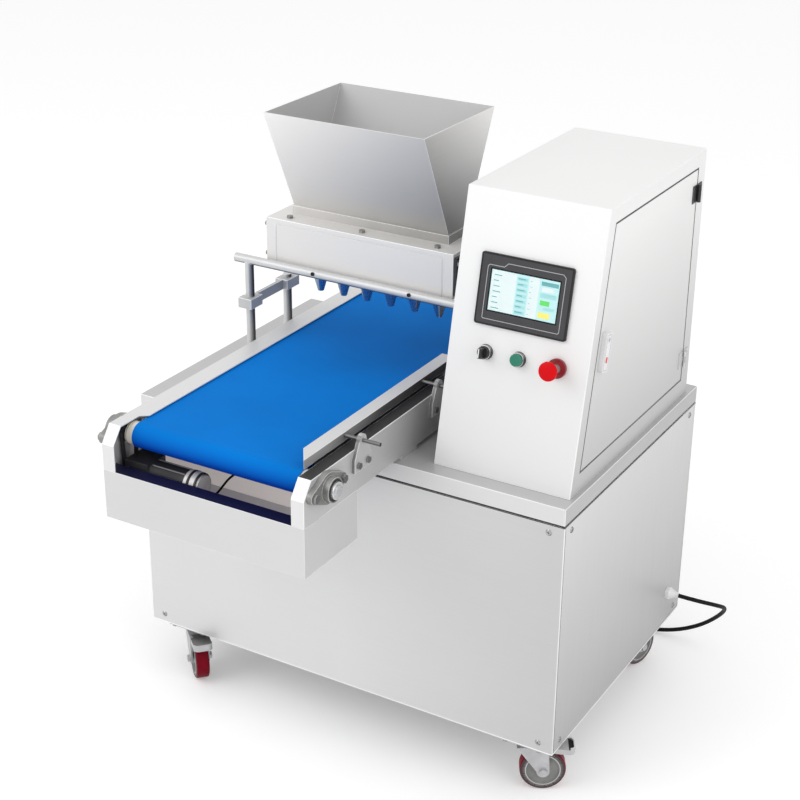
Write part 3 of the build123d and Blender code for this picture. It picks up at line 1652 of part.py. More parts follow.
def cord_route():
    """Points of the free cord, from the gland to the coil on the floor behind the base."""
    seat = gland_seat()
    rise = seat[2] - cord_radius

    def bend(beyond_gland, behind_base, height_share):
        return (gland_tip + beyond_gland, base_back + behind_base, cord_radius + height_share * rise)

    return [
        (gland_tip, seat[1], seat[2]),
        (gland_tip + cord_straight, seat[1], seat[2]),
        bend(85.0, -51.0, 0.92),
        bend(91.0, 5.0, 0.75),
        bend(62.0, 43.0, 0.5),
        bend(13.0, 61.0, 0.245),
        bend(-49.0, 63.0, 0.07),
        bend(-117.0, 53.0, 0.0),
        (coil_start[0] + coil_approach, coil_start[1], coil_low),
        coil_start,
    ]


def corner_radii(points):
    """Largest arc at each corner of a route that its two runs allow."""
    radii = []
    for before, corner, after in zip(points, points[1:], points[2:]):
        first = Vector(*corner) - Vector(*before)
        second = Vector(*after) - Vector(*corner)
        turn = math.radians(first.get_angle(second))
        radii.append(arc_share * min(first.length, second.length) / math.tan(turn / 2))
    return radii


def tube(path, radius):
    """Round tube along a path."""
    return sweep(Plane(origin=path @ 0, z_dir=path % 0) * Circle(radius), path=path)


def power_cord():
    """Free cord between the gland and the coil."""
    points = cord_route()
    radii = corner_radii(points)
    print("cord arcs", [round(radius, 1) for radius in radii])
    path = FilletPolyline(*points, radius=radii)
    cord = tube(path, cord_radius)
    section = math.pi * cord_radius**2
    print("cord length", round(path.length, 1))
    print("cord volume ratio", round(cord.volume / (section * path.length), 4))
    return cord


def coil_point(turn):
    """Coil centre line at a number of turns: spiral in, climb a layer, spiral out."""
    inward = coil_turns + coil_climb / 2
    steps = turn if turn < inward else 2 * inward - turn
    radius = coil_outer_radius - coil_pitch * steps
    climb = min(max((turn - coil_turns) / coil_climb, 0.0), 1.0)
    z = coil_low + (coil_high - coil_low) * (1 - math.cos(math.pi * climb)) / 2
    angle = -math.pi / 2 - 2 * math.pi * turn
    return Vector(coil_x + radius * math.cos(angle), coil_y + radius * math.sin(angle), z)


def coil_heading(turn):
    """Unit direction of the coil's centre line; level and along X at both ends."""
    total = 2 * coil_turns + coil_climb
    if turn == 0:
        return Vector(-1, 0, 0)
    if turn == total:
        return Vector(1, 0, 0)
    step = 0.001
    return (coil_point(turn + step) - coil_point(turn - step)).normalized()


def biarc(start, first, end, last):
    """Two tangent arcs from one point and direction to another."""
    chord = end - start
    bend = 2 * (1 - first.dot(last))
    along = chord.dot(first + last)
    reach = (math.sqrt(along**2 + bend * chord.dot(chord)) - along) / bend
    near = start + first * reach
    far = end - last * reach
    middle = (near + far) * 0.5
    heading = (far - near).normalized()
    return [Edge.make_tangent_arc(start, first, middle), Edge.make_tangent_arc(middle, heading, end)]


def cord_coil():
    """Put-away length of the cord, wound in two layers."""
    total = 2 * coil_turns + coil_climb
    quarters = round(4 * total)
    turns = [total * number / quarters for number in range(quarters + 1)]
    edges = [Edge.make_line(coil_start, coil_point(turns[0]))]
    for first, last in zip(turns, turns[1:]):
        edges += biarc(coil_point(first), coil_heading(first), coil_point(last), coil_heading(last))
    edges.append(Edge.make_line(coil_point(turns[-1]), plug_start))
    path = Wire(edges)
    spacing = cord_radius
    count = int(path.length / spacing)
    points = [path @ (number / count) for number in range(count + 1)]
    skip = int(4 * cord_radius / spacing)
    gap = min(
        (points[i] - points[j]).length for i in range(count) for j in range(i + skip, count + 1)
    ) - 2 * cord_radius
    coil = tube(path, cord_radius)
    section = math.pi * cord_radius**2
    print("coil length", round(path.length, 1), "least gap", round(gap, 2))
    print("coil volume ratio", round(coil.volume / (section * path.length), 4))
    return coil


def plug():
    """Two-pin plug lying beside the coil."""
    x, y, z = plug_start
    taper = Cone(cord_radius + plug_neck_wall, cord_radius + plug_shoulder_wall, plug_taper)
    body = Plane(origin=plug_start, z_dir=right).location * Pos(0, 0, plug_taper / 2) * taper
    body += rod((x + plug_taper, y, z), right, plug_body, z)
    for sign in (-1, 1):
        pin_start = (x + plug_taper + plug_body, y + sign * plug_pin_spacing / 2, z)
        body += rod(pin_start, right, plug_pin, plug_pin_radius)
    return body


def hex_bolts():
    """All hex bolts of the machine."""
    bolts = hex_bolt_group(caster_bolt_seats(), down, medium_bolt, caster_bolt_depth)
    for outer_x, outward in ((conveyor_left, left), (conveyor_right, right)):
        flange_face = outer_x + outward[0] * bearing_flange
        bolts += hex_bolt_group(bearing_bolt_seats(flange_face), outward, large_bolt, bearing_bolt_depth)
        inward = opposite(outward)
        tab_seats = tab_bolt_seats(outer_x, inward[0])
        bolts += hex_bolt_group(tab_seats, inward, small_bolt, tab_bolt_depth)
    bolts += hex_bolt_group(foot_bolt_seats(), up, medium_bolt, foot_bolt_depth)
    bolts += hex_bolt_group(actuator_bolt_seats(), up, small_bolt, actuator_bolt_depth)
    bolts += hex_bolt_group(cabinet_bolt_seats(), up, medium_bolt, cabinet_bolt_depth)
    bolts += hex_bolt_group(bracket_bolt_seats(), right, medium_bolt, bracket_bolt_depth)
    bolts += hex_bolt_group(end_bolt_seats(), left, small_bolt, end_bolt_depth - bolt_tip_gap)
    bolts += hex_bolt_group(top_bolt_seats(), up, medium_bolt, top_bolt_depth)
    bolts += hex_bolt_group(nozzle_plate_bolt_seats(), down, small_bolt, nozzle_plate_bolt_depth)
    head_seats = carrier_bolt_seats(head_right + carrier_flange)
    wall_seats = carrier_bolt_seats(cabinet_left - carrier_flange)
    bolts += hex_bolt_group(head_seats, right, medium_bolt, carrier_bolt_depth)
    bolts += hex_bolt_group(wall_seats, left, medium_bolt, wall_bolt_depth)
    bolts += hex_bolt_group(feed_motor_bolt_seats(), right, small_bolt, feed_motor_bolt_depth)
    return group(bolts)


nodes = {
    "base_frame": base_frame(),
    "front_panel": front_panel(),
    "base_panels": base_panels(),
    "deck": deck(),
    "panel_screws": panel_screws(),
    "hex_bolts": hex_bolts(),
    "lift_actuator": lift_actuator(),
    "caster_plates": caster_plates(),
    "left_side_member": left_side_member(),
    "right_side_member": right_side_member(),
    "slider_bed": slider_bed(),
    "conveyor_belt": conveyor_belt(),
    "front_roller": roller(front_roller_y),
    "rear_roller": roller(rear_roller_y),
    "roller_bearings": roller_bearings(),
    "drive_pulley": drive_pulley(),
    "motor_pulley": motor_pulley(),
    "timing_belt": timing_belt(),
    "conveyor_motor": conveyor_motor(),
    "front_tray": front_tray(),
    "guide_rail": guide_rail(),
    "guide_brackets": guide_brackets(),
    "head_body": head_body(),
    "head_front_cover": head_front_cover(),
    "front_feed_roller": feed_roller(front_feed_y, feed_shaft_end),
    "rear_feed_roller": feed_roller(rear_feed_y, gear_right),
    "front_feed_gear": feed_gear(front_feed_y, 0),
    "rear_feed_gear": feed_gear(rear_feed_y, math.pi + math.pi / gear_teeth),
    "nozzle_plate": nozzle_plate(),
    "nozzles": nozzles(),
    "head_carrier": head_carrier(),
    "hopper": hopper(),
    "feed_motor": feed_motor(),
    "cutter_bar": cutter_bar(),
    "post_clamps": post_clamps(),
    "link_bar": link_bar(),
    "guide_post": guide_post(),
    "control_cabinet": control_cabinet(),
    "cabinet_door": cabinet_door(),
    "latch_handle": latch_handle(),
    "electrical_panel": electrical_panel(),
    "hmi_panel": hmi_panel(),
    "button_bezels": button_bezels(),
    "selector_knob": selector_knob(),
    "green_button": green_button(),
    "estop_button": estop_button(),
    "gland": gland(),
    "power_cord": power_cord(),
    "cord_coil": cord_coil(),
    "plug": plug(),
}
for name, x, y, heading in caster_places():
    place = Pos(x, y, 0) * Rot(0, 0, heading)
    nodes[f"{name}_fork"] = place * fork()
    nodes[f"{name}_wheel"] = place * wheel()
    if name in pedal_lifts:
        nodes[f"{name}_brake_pedal"] = place * brake_pedal(pedal_lifts[name])

os.makedirs("parts", exist_ok=True)
for name, shape in nodes.items():
    export_step(shape, f"parts/{name}.step")
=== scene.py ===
import json
import math

import bmesh
import bpy
from mathutils import Matrix, Vector

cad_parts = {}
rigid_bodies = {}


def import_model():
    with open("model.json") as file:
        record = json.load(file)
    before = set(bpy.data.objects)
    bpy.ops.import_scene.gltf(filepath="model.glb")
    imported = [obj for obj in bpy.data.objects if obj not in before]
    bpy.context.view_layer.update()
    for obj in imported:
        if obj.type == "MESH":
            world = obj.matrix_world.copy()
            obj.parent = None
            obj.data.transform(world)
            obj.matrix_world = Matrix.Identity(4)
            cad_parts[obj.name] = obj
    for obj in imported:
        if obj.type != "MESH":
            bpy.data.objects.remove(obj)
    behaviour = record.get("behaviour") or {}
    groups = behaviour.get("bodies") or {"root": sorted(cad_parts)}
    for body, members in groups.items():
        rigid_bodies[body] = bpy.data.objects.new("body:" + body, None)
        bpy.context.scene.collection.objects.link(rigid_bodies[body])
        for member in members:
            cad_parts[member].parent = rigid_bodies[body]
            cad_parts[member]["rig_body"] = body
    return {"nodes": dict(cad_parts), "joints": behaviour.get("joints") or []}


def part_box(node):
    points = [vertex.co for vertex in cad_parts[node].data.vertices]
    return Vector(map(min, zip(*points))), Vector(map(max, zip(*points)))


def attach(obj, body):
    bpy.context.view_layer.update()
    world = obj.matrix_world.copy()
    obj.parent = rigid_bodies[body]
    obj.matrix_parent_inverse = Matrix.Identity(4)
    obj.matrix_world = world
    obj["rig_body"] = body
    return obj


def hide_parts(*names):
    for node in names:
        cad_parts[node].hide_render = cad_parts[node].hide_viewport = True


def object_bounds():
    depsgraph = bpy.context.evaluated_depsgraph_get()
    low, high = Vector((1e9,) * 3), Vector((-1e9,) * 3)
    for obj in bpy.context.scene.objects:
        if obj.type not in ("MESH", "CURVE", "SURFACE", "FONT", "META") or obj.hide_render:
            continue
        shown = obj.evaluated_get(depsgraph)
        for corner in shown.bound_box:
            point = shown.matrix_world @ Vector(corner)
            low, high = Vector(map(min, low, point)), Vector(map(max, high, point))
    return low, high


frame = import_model()
cad_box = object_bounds()
nodes = frame["nodes"]
joints = {joint["name"]: joint for joint in frame["joints"]}
scene = bpy.context.scene
mm = 0.001
corners = ("front_left", "front_right", "rear_left", "rear_right")


def add_object(name, data):
    """New object in the scene."""
    thing = bpy.data.objects.new(name, data)
    scene.collection.objects.link(thing)
    return thing


def box(node):
    """Lowest and highest corner of a part, in millimetres."""
    low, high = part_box(node)
    return low / mm, high / mm


# Places that the frame gives, in millimetres

cabinet_low, cabinet_high = box("control_cabinet")
deck_low = box("deck")[0]
panel_low, panel_high = box("front_panel")
side_low, side_high = box("base_panels")
tray_low = box("front_tray")[0]
roller_low, roller_high = box("front_roller")
rear_roller_low, rear_roller_high = box("rear_roller")
belt_low, belt_high = box("conveyor_belt")
bearing_low, bearing_high = box("roller_bearings")
member_low, member_high = box("right_side_member")
rail_low = box("guide_rail")[0]
motor_low, motor_high = box("conveyor_motor")
hopper_low, hopper_high = box("hopper")
cover_low, cover_high = box("head_front_cover")
bar_low, bar_high = box("cutter_bar")
plug_high = box("plug")[1]
plate_high = box("electrical_panel")[1]

# Where the band of painted shade across the right brake pedal's top starts, and how soft its edge is
pedal_shade_start = 87.0
pedal_shade_blur = 1.0
lip_start = 92.0
pedal_low, pedal_high = box("front_right_brake_pedal")
pedal_pivot = Vector(joints["front_right_swivel"]["pos_m"]) / mm
pedal_arm = (pedal_low + pedal_high) / 2 - pedal_pivot
pedal_heading = Vector((pedal_arm.x, pedal_arm.y, 0)).normalized()
pedal_start = pedal_pivot.dot(pedal_heading)
pedal_shade_place = pedal_start + pedal_shade_start

to_right = (1, 0, 0)
to_back = (0, 1, 0)
to_front = (0, -1, 0)
to_top = (0, 0, 1)
across = Vector(to_right)
front_normal = -Vector(joints["start_press"]["axis"])
front_rise = front_normal.cross(across)
front_axes = Matrix((across, front_rise, front_normal)).transposed().to_4x4()
sloped_front = Matrix.Translation(cabinet_low * mm) @ front_axes
slant = math.atan2(front_rise.y, front_rise.z)


# Camera

camera_target = Vector((-84.86, 222.97, 647.0)) * mm
camera_distance = 3910.9 * mm
camera_azimuth = math.radians(30.21)
camera_elevation = math.radians(24.59)
camera_roll = math.radians(0.577)
camera_lens = 75.81
camera_sensor = 36.0


def add_camera():
    """Camera at the photograph's viewpoint."""
    data = bpy.data.cameras.new("camera")
    data.lens = camera_lens
    data.sensor_width = camera_sensor
    data.clip_end = 100.0
    level = math.cos(camera_elevation)
    back = Vector((
        math.sin(camera_azimuth) * level,
        -math.cos(camera_azimuth) * level,
        math.sin(camera_elevation),
    ))
    side = Vector(to_top).cross(back).normalized()
    top = back.cross(side)
    turn = Matrix.Rotation(camera_roll, 3, back)
    axes = Matrix((turn @ side, turn @ top, back)).transposed().to_4x4()
    camera = add_object("camera", data)
    camera.matrix_world = Matrix.Translation(camera_target + back * camera_distance) @ axes
    scene.camera = camera


add_camera()


# Mains lead

cord_radius = 5.0
gland_tip = Vector((555.0, 439.0, 209.0))
coil_start = Vector((310.0, 560.1, 5.0))
coil_middle = Vector((300.0, 632.0))
coil_outer_radius = 71.9
coil_pitch = 10.6
coil_turns = 3
coil_climb = 0.5
coil_points_per_turn = 24
plug_start = Vector((326.0, 703.9, 15.6))
lead_bends = [
    (597.0, 439.0, 209.0),
    (640.0, 470.0, 193.0),
    (646.0, 526.0, 158.0),
    (617.0, 564.0, 107.0),
    (568.0, 582.0, 55.0),
    (506.0, 584.0, 19.0),
    (438.0, 574.0, 5.0),
    (372.0, 560.1, 5.0),
]


def cord_points():
    """Route of the lead in millimetres: from the gland to the floor, through the coil, to the plug."""
    points = [gland_tip] + [Vector(bend) for bend in lead_bends] + [coil_start]
    total = 2 * coil_turns + coil_climb
    half = total / 2
    count = round(total * coil_points_per_turn)
    for number in range(count + 1):
        turn = total * number / count
        steps = min(turn, total - turn)
        radius = coil_outer_radius - coil_pitch * steps
        climb = min(max((turn - half) / coil_climb + 0.5, 0.0), 1.0)
        height = coil_start.z + coil_pitch * (1 - math.cos(math.pi * climb)) / 2
        angle = -math.pi / 2 - 2 * math.pi * turn
        x = coil_middle.x + radius * math.cos(angle)
        y = coil_middle.y + radius * math.sin(angle)
        points.append(Vector((x, y, height)))
    return points + [plug_start]


def add_cord(name, points, radius):
    """A cord as one smooth curve through its route, in millimetres."""
    data = bpy.data.curves.new(name, "CURVE")
    data.dimensions = "3D"
    data.bevel_depth = radius * mm
    data.bevel_resolution = 6
    data.use_fill_caps = True
    spline = data.splines.new("NURBS")
    spline.points.add(len(points) - 1)
    for point, place in zip(spline.points, points):
        point.co = (*(place * mm), 1.0)
    spline.order_u = 3
    spline.use_endpoint_u = True
    spline.resolution_u = 6
    return add_object(name, data)


mains_lead = add_cord("mains_lead", cord_points(), cord_radius)


# Wire of the conveyor's motor, from the tray's back wall to the motor's underside

wire_radius = 2.4
wire_start = Vector((-96.0, -334.0, 716.0))
wire_bends = [
    (-106.0, -372.0, 719.0),
    (-118.5, -400.0, 710.0),
    (-134.5, -402.0, 688.0),
    (-150.5, -408.0, 663.0),
    (-166.0, -424.0, 664.0),
    (-170.0, -440.0, 682.0),
]
motor_wire = add_cord("motor_wire", [wire_start] + [Vector(bend) for bend in wire_bends], wire_radius)


# Materials

def new_material(name):
    """Node material with its tree and its main shader."""
    material = bpy.data.materials.new(name)
    material.use_nodes = True
    tree = material.node_tree
    return material, tree, tree.nodes["Principled BSDF"]


def feed(tree, node, inputs):
    """Values, or outputs of other nodes, for a node's inputs."""
    for name, value in inputs.items():
        if isinstance(value, bpy.types.NodeSocket):
            tree.links.new(value, node.inputs[name])
        else:
            node.inputs[name].default_value = value


def add_node(tree, kind, inputs, output, **settings):
    """Output of a new shader node."""
    node = tree.nodes.new(f"ShaderNode{kind}")
    for name, value in settings.items():
        setattr(node, name, value)
    feed(tree, node, inputs)
    return node.outputs[output]


def noise(tree, scale, detail=3.0, stretch=(1, 1, 1)):
    """Noise in the object's own coordinates, in metres, stretched along an axis where wanted."""
    place = add_node(tree, "TexCoord", {}, "Object")
    place = add_node(tree, "Mapping", {"Vector": place, "Scale": stretch}, "Vector")
    return add_node(tree, "TexNoise", {"Vector": place, "Scale": scale, "Detail": detail}, "Fac")


def spread(tree, value, low, high, start=0.3, end=0.7):
    """Value mapped from a range, the middle of a noise's unless said, to a range of its own."""
    inputs = {"Value": value, "From Min": start, "From Max": end, "To Min": low, "To Max": high}
    return add_node(tree, "MapRange", inputs, "Result")


def blend(tree, factor, first, second):
    """Colour between two colours, each given as numbers or as a socket."""
    inputs = {"Factor": factor}
    for name, color in (("A", first), ("B", second)):
        inputs[name] = color if isinstance(color, bpy.types.NodeSocket) else (*color, 1)
    return add_node(tree, "Mix", inputs, "Result", data_type="RGBA")


def along(tree, vector, direction):
    """Part of a vector socket that lies along a direction."""
    return add_node(tree, "VectorMath", {0: vector, 1: direction}, "Value", operation="DOT_PRODUCT")


def facing(tree, direction):
    """How far the surface faces a direction."""
    return along(tree, add_node(tree, "NewGeometry", {}, "Normal"), Vector(direction).normalized())


def place_along(tree, direction):
    """Place along a direction of the object's frame, in metres."""
    return along(tree, add_node(tree, "TexCoord", {}, "Object"), direction)


relief_depth = 0.2
glow_strength = 0.3


def finish(name, color, shade=0.05, metallic=0.0, roughness=(0.3, 0.4), cloud=3.0, grain=300.0,
           stretch=(1, 1, 1), relief=0.1, coat=0.0, specular=0.5, light=0.0, fade=None, painted_dark_side=None):
    """Surface with soft tone changes and a fine grain in its gloss and relief.

    Of the last two, the first is a ramp of painted shade along a direction, (colour, direction, start, end)
    in millimetres, and the second is painted shade or a dark painted reflection on the faces that turn a
    way, (colour, facing direction, start, end). A light above zero makes the surface glow by itself, a
    painted light.
    """
    material, tree, shader = new_material(name)
    dark = [channel * (1 - shade) for channel in color]
    pale = [min(channel * (1 + shade), 1.0) for channel in color]
    tone = blend(tree, spread(tree, noise(tree, cloud), 0.0, 1.0), dark, pale)
    # Painted shade that darkens the tone along a direction
    if fade:
        end_color, direction, start, end = fade
        share = spread(tree, place_along(tree, direction), 0.0, 1.0, start * mm, end * mm)
        tone = blend(tree, share, tone, end_color)
    # Painted shade, or a dark painted reflection, on the faces turned a way
    if painted_dark_side:
        end_color, direction, start, end = painted_dark_side
        share = spread(tree, facing(tree, direction), 0.0, 1.0, start, end)
        tone = blend(tree, share, tone, end_color)
    fine = noise(tree, grain, 4.0, stretch)
    bump = {"Strength": relief, "Distance": relief_depth * mm, "Height": fine}
    feed(tree, shader, {
        "Base Color": tone,
        "Roughness": spread(tree, fine, *roughness),
        "Metallic": metallic,
        "Coat Weight": coat,
        "Specular IOR Level": specular,
        "Normal": add_node(tree, "Bump", bump, "Normal"),
    })
    # Glow of the surface itself: painted light
    if light:
        feed(tree, shader, {"Emission Color": tone, "Emission Strength": light})
    return material


def sheet_steel(name, brushing, color, roughness=(0.4, 0.52), metallic=0.45, **more):
    """Satin stainless sheet with fine brush marks along an axis."""
    return finish(name, color, shade=0.025, metallic=metallic, roughness=roughness, cloud=1.5, grain=350.0,
                  stretch=brushing, relief=0.05, **more)


def glow(name, color):
    """Display surface that shines a little by itself."""
    material, tree, shader = new_material(name)
    value = noise(tree, 900.0, 2.0)
    dark = [channel * 0.94 for channel in color]
    tone = blend(tree, spread(tree, value, 0.0, 1.0), dark, color)
    feed(tree, shader, {
        "Base Color": tone,
        "Emission Color": tone,
        "Emission Strength": glow_strength,
        "Roughness": spread(tree, value, 0.25, 0.35),
    })
    return material


def gray(level):
    """Colour with the same amount of red, green and blue."""
    return (level, level, level)


# Directions along which the hopper's painted shade darkens
hopper_front_fade = (0.6, 0, -0.8)
hopper_side_fade = (0, -0.7, -0.7)
brush_x = (0.02, 1, 1)
brush_y = (1, 0.02, 1)
brush_z = (1, 1, 0.02)
steel_tone = gray(0.72)
# Painted shade: dark stripes on the faces of tubes, bars and rods turned to the right and down.
tube_shadow = ((0.02, 0.02, 0.022), (0.75, 0.2, -0.65), 0.0, 0.72)
bar_shadow = ((0.02, 0.02, 0.022), (0.35, 0.25, -0.9), 0.05, 0.5)

# Front panel: painted shade, darker towards the right.
front_steel = sheet_steel("front_steel", brush_x, steel_tone, fade=(gray(0.58), to_right, 0, 500))
steel_y = sheet_steel("steel_brushed_lengthwise", brush_y, gray(0.76))
# Base panels and frame: painted shade, darker towards the bottom.
steel_z = sheet_steel("steel_brushed_upright", brush_z, (0.68, 0.675, 0.675),
                      fade=(gray(0.46), to_top, side_high.z, side_low.z))
# Deck's top: a darker copy of the lip's steel, painted shade.
deck_steel_painted_shade = sheet_steel("deck_steel_painted_shade", brush_x, gray(0.56))
lip_steel = sheet_steel("lip_steel", brush_x, gray(0.7))
# Deck's right-hand lip: a darker copy of the lip's steel, painted shade.
side_lip_painted_shade = sheet_steel("side_lip_painted_shade", brush_y, gray(0.5))
head_steel = sheet_steel("head_steel", brush_x, (0.79, 0.775, 0.755), metallic=0.25)
# Members' front chamfers: a lighter, less metallic copy of the steel, painted light.
nose_steel_painted_light = sheet_steel("nose_steel_painted_light", brush_x, (0.78, 0.77, 0.78), metallic=0.2)
# Hopper: painted shade and reflection, darker towards the lower right on the front and towards the front and
# bottom on the right side; the inside a darker copy, painted shade.
hopper_steel = sheet_steel("hopper_steel", brush_x, (0.97, 0.95, 0.92), (0.42, 0.54), 0.2,
                           fade=((0.4, 0.39, 0.375), hopper_front_fade, -1250, -880))
hopper_side_painted_shade = sheet_steel("hopper_side_painted_shade", brush_y, (0.86, 0.85, 0.84), (0.42, 0.54), 0.2,
                          fade=((0.25, 0.25, 0.245), hopper_side_fade, -1130, -880))
hopper_inside_painted_shade = sheet_steel("hopper_inside_painted_shade", brush_z, (0.53, 0.525, 0.525), (0.5, 0.6), 0.1)
# Right member's outer side: a darker copy of the steel, painted shade, darker again towards the back.
member_side_painted_shade = sheet_steel("member_side_painted_shade", brush_y, gray(0.6),
                           fade=(gray(0.4), to_back, member_low.y + 100, member_low.y + 420))
tray_steel = sheet_steel("tray_steel", brush_x, gray(0.66))
# Lighter steel on bevels, folded returns, hems and the right pedal's end lip: painted highlight.
steel_edge_highlight = finish("steel_painted_highlight", gray(0.92), 0.03, 0.3, (0.3, 0.4), 8.0)
rail_shade = sheet_steel("rail_leg", brush_y, gray(0.42),
                         fade=(gray(0.09), to_back, rail_low.y + 90, rail_low.y + 290))
# Black for the coil's tie, and painted shade: the strip by the belt's right edge, the right member's top
# flange under the rail and the slider bed.
black_tie_and_painted_shade = finish("black_strip_and_painted_shade", gray(0.02), 0.2, 0.0, (0.45, 0.6), 20.0, 800.0)
# Tray's flange: near-black blue, a painted reflection of the belt's underside.
flange_painted_reflection = sheet_steel("tray_flange_painted_reflection", brush_x, (0.003, 0.003, 0.035), (0.4, 0.5), 0.0)
# Tray's back wall: lighter and glowing, painted light.
tray_wall_painted_light = sheet_steel("tray_wall_painted_light", brush_x, (0.72, 0.66, 0.63), metallic=0.1, light=0.42)
# Cabinet: painted shade, darker towards the bottom; the front in a lighter copy, painted light.
cabinet_paint = finish("cabinet_paint", (0.88, 0.875, 0.87), 0.012, 0.0, (0.36, 0.44), 2.0, 900.0,
                       relief=0.05, fade=((0.5, 0.495, 0.495), to_top, cabinet_high.z - 60, cabinet_low.z))
front_paint_painted_light = finish("cabinet_front_painted_light", (0.92, 0.92, 0.915), 0.012, 0.0, (0.36, 0.44), 2.0, 900.0,
                     relief=0.05, fade=(gray(0.78), to_top, cabinet_high.z - 60, cabinet_low.z))
# Lighter paint on the cabinet's and door's bevels: painted highlight.
paint_edge_highlight = finish("cabinet_painted_highlight", gray(0.93), 0.01, 0.0, (0.3, 0.36), 8.0)
# Dark for the base's seams and the door's seal, which also darkens the door's gap as painted shade, and for
# a band of painted shade round the gap.
dark_seal_and_painted_shade = finish("door_seal_and_painted_shade", gray(0.05), 0.15, 0.0, (0.5, 0.65), 20.0, 800.0)
polished = finish("polished_steel", (0.7, 0.7, 0.71), 0.04, 0.75, (0.25, 0.34), 6.0, 500.0, relief=0.03)
tube_steel = finish("tube_steel", gray(0.62), 0.04, 0.3, (0.34, 0.44), 6.0, 500.0, relief=0.03,
                    painted_dark_side=tube_shadow)
bar_steel = finish("bar_steel", gray(0.62), 0.04, 0.3, (0.34, 0.44), 6.0, 500.0, relief=0.03,
                   painted_dark_side=bar_shadow)
rod_steel = finish("rod_steel", gray(0.16), 0.06, 0.5, (0.3, 0.4), 12.0, 600.0, relief=0.05,
                   painted_dark_side=tube_shadow)
# Nozzles: blue-tinted steel, a painted reflection of the belt.
nozzle_steel_painted_reflection = finish("nozzle_steel_painted_reflection", (0.34, 0.42, 0.53), 0.06, 0.9, (0.22, 0.3), 12.0, 600.0, relief=0.05)
machined = finish("machined_steel", (0.62, 0.63, 0.64), 0.06, 1.0, (0.24, 0.34), 12.0, 600.0, relief=0.05)
# Screw heads: painted shade on their undersides.
screw_steel = finish("screw_steel", gray(0.4), 0.08, 0.9, (0.2, 0.3), 40.0, 600.0, relief=0.05,
                     painted_dark_side=(gray(0.03), (0.3, 0.2, -0.9), 0.1, 0.6))
# Black for the bar's socket screws, and painted shade in the panel screws' cross recesses, the latch's key
# slot and the bezels' grooves.
black_oxide_and_recess_shade = finish("screw_recess", gray(0.015), 0.1, 0.3, (0.4, 0.5), 40.0, 600.0)
zinc = finish("zinc_plate", (0.5, 0.5, 0.51), 0.1, 0.5, (0.32, 0.46), 40.0, 500.0, relief=0.06)
# Right pedal's top: a lighter copy of the plating, painted light, with a dark band, painted shade, at the
# fold before its end lip.
pedal_top_lit_and_shaded = finish("pedal_top_painted_light_and_shade", gray(0.62), 0.1, 0.4, (0.32, 0.46), 40.0, 500.0, relief=0.06,
                    fade=(gray(0.012), pedal_heading, pedal_shade_place, pedal_shade_place + pedal_shade_blur))
# Left pedal's top: dark, painted shade.
pedal_top_painted_shade = finish("pedal_left_painted_shade", gray(0.16), 0.2, 0.6, (0.35, 0.5), 40.0, 500.0, relief=0.08)
# Bolt heads: painted shade on their undersides.
bolt_steel = finish("bolt_steel", gray(0.3), 0.1, 0.8, (0.28, 0.4), 60.0, 700.0, relief=0.05,
                    painted_dark_side=(gray(0.02), (0.3, 0.2, -0.9), 0.0, 0.6))
# Bearing housings: painted shade on their undersides.
bearing_cast = finish("bearing_housing", (0.26, 0.26, 0.25), 0.12, 0.4, (0.35, 0.5), 50.0, 600.0, relief=0.2,
                      painted_dark_side=(gray(0.03), (0.2, 0.3, -0.9), 0.2, 0.8))
cover_alloy = finish("motor_cover", (0.62, 0.61, 0.59), 0.1, 0.2, (0.35, 0.45), 30.0, 500.0, relief=0.08)
black_paint = finish("black_paint", (0.02, 0.02, 0.022), 0.15, 0.0, (0.35, 0.5), 20.0, 700.0, relief=0.1)
# Guide brackets: the faces turned to the front in a darker copy, painted shade.
bracket_steel = sheet_steel("bracket_steel", brush_z, gray(0.54))
bracket_front_painted_shade = sheet_steel("bracket_front_painted_shade", brush_z, gray(0.24))
cord_black = finish("cord_black", gray(0.004), 0.2, 0.0, (0.5, 0.65), 30.0, 900.0, relief=0.1,
                    specular=0.2)
# Black rubber for seals, belts, gaskets and the plug, also the painted shade under the deck's lip.
black_rubber = finish("black_rubber", gray(0.012), 0.2, 0.0, (0.5, 0.65), 30.0, 900.0, relief=0.1)
black_plastic = finish("black_plastic", (0.014, 0.014, 0.015), 0.15, 0.0, (0.28, 0.4), 30.0, 900.0,
                       relief=0.08)
bezel_plastic = finish("bezel_plastic", (0.055, 0.053, 0.057), 0.08, 0.0, (0.45, 0.55), 30.0, 1500.0,
                       relief=0.12, specular=0.3)
bezel_edge = finish("bezel_edge", (0.014, 0.014, 0.015), 0.08, 0.0, (0.4, 0.5), 30.0, 1500.0, specular=0.3)
# Belt: painted shade, a darker deep blue down the front wrap.
belt_blue = finish("belt_blue", (0.0, 0.175, 0.6), 0.14, 0.0, (0.6, 0.7), 2.6, 1200.0, relief=0.08,
                   specular=0.05, fade=((0.0, 0.05, 0.4), to_top, belt_high.z - 2, belt_high.z - 40))
sleeve_cream = finish("roller_sleeve", (0.76, 0.72, 0.62), 0.05, 0.0, (0.4, 0.5), 15.0, 400.0)
sleeve_ring = finish("sleeve_groove", (0.3, 0.28, 0.26), 0.08, 0.0, (0.45, 0.55), 15.0, 400.0)
tread_red = finish("wheel_tread", (0.19, 0.002, 0.012), 0.15, 0.0, (0.35, 0.45), 25.0, relief=0.08,
                   specular=0.08)
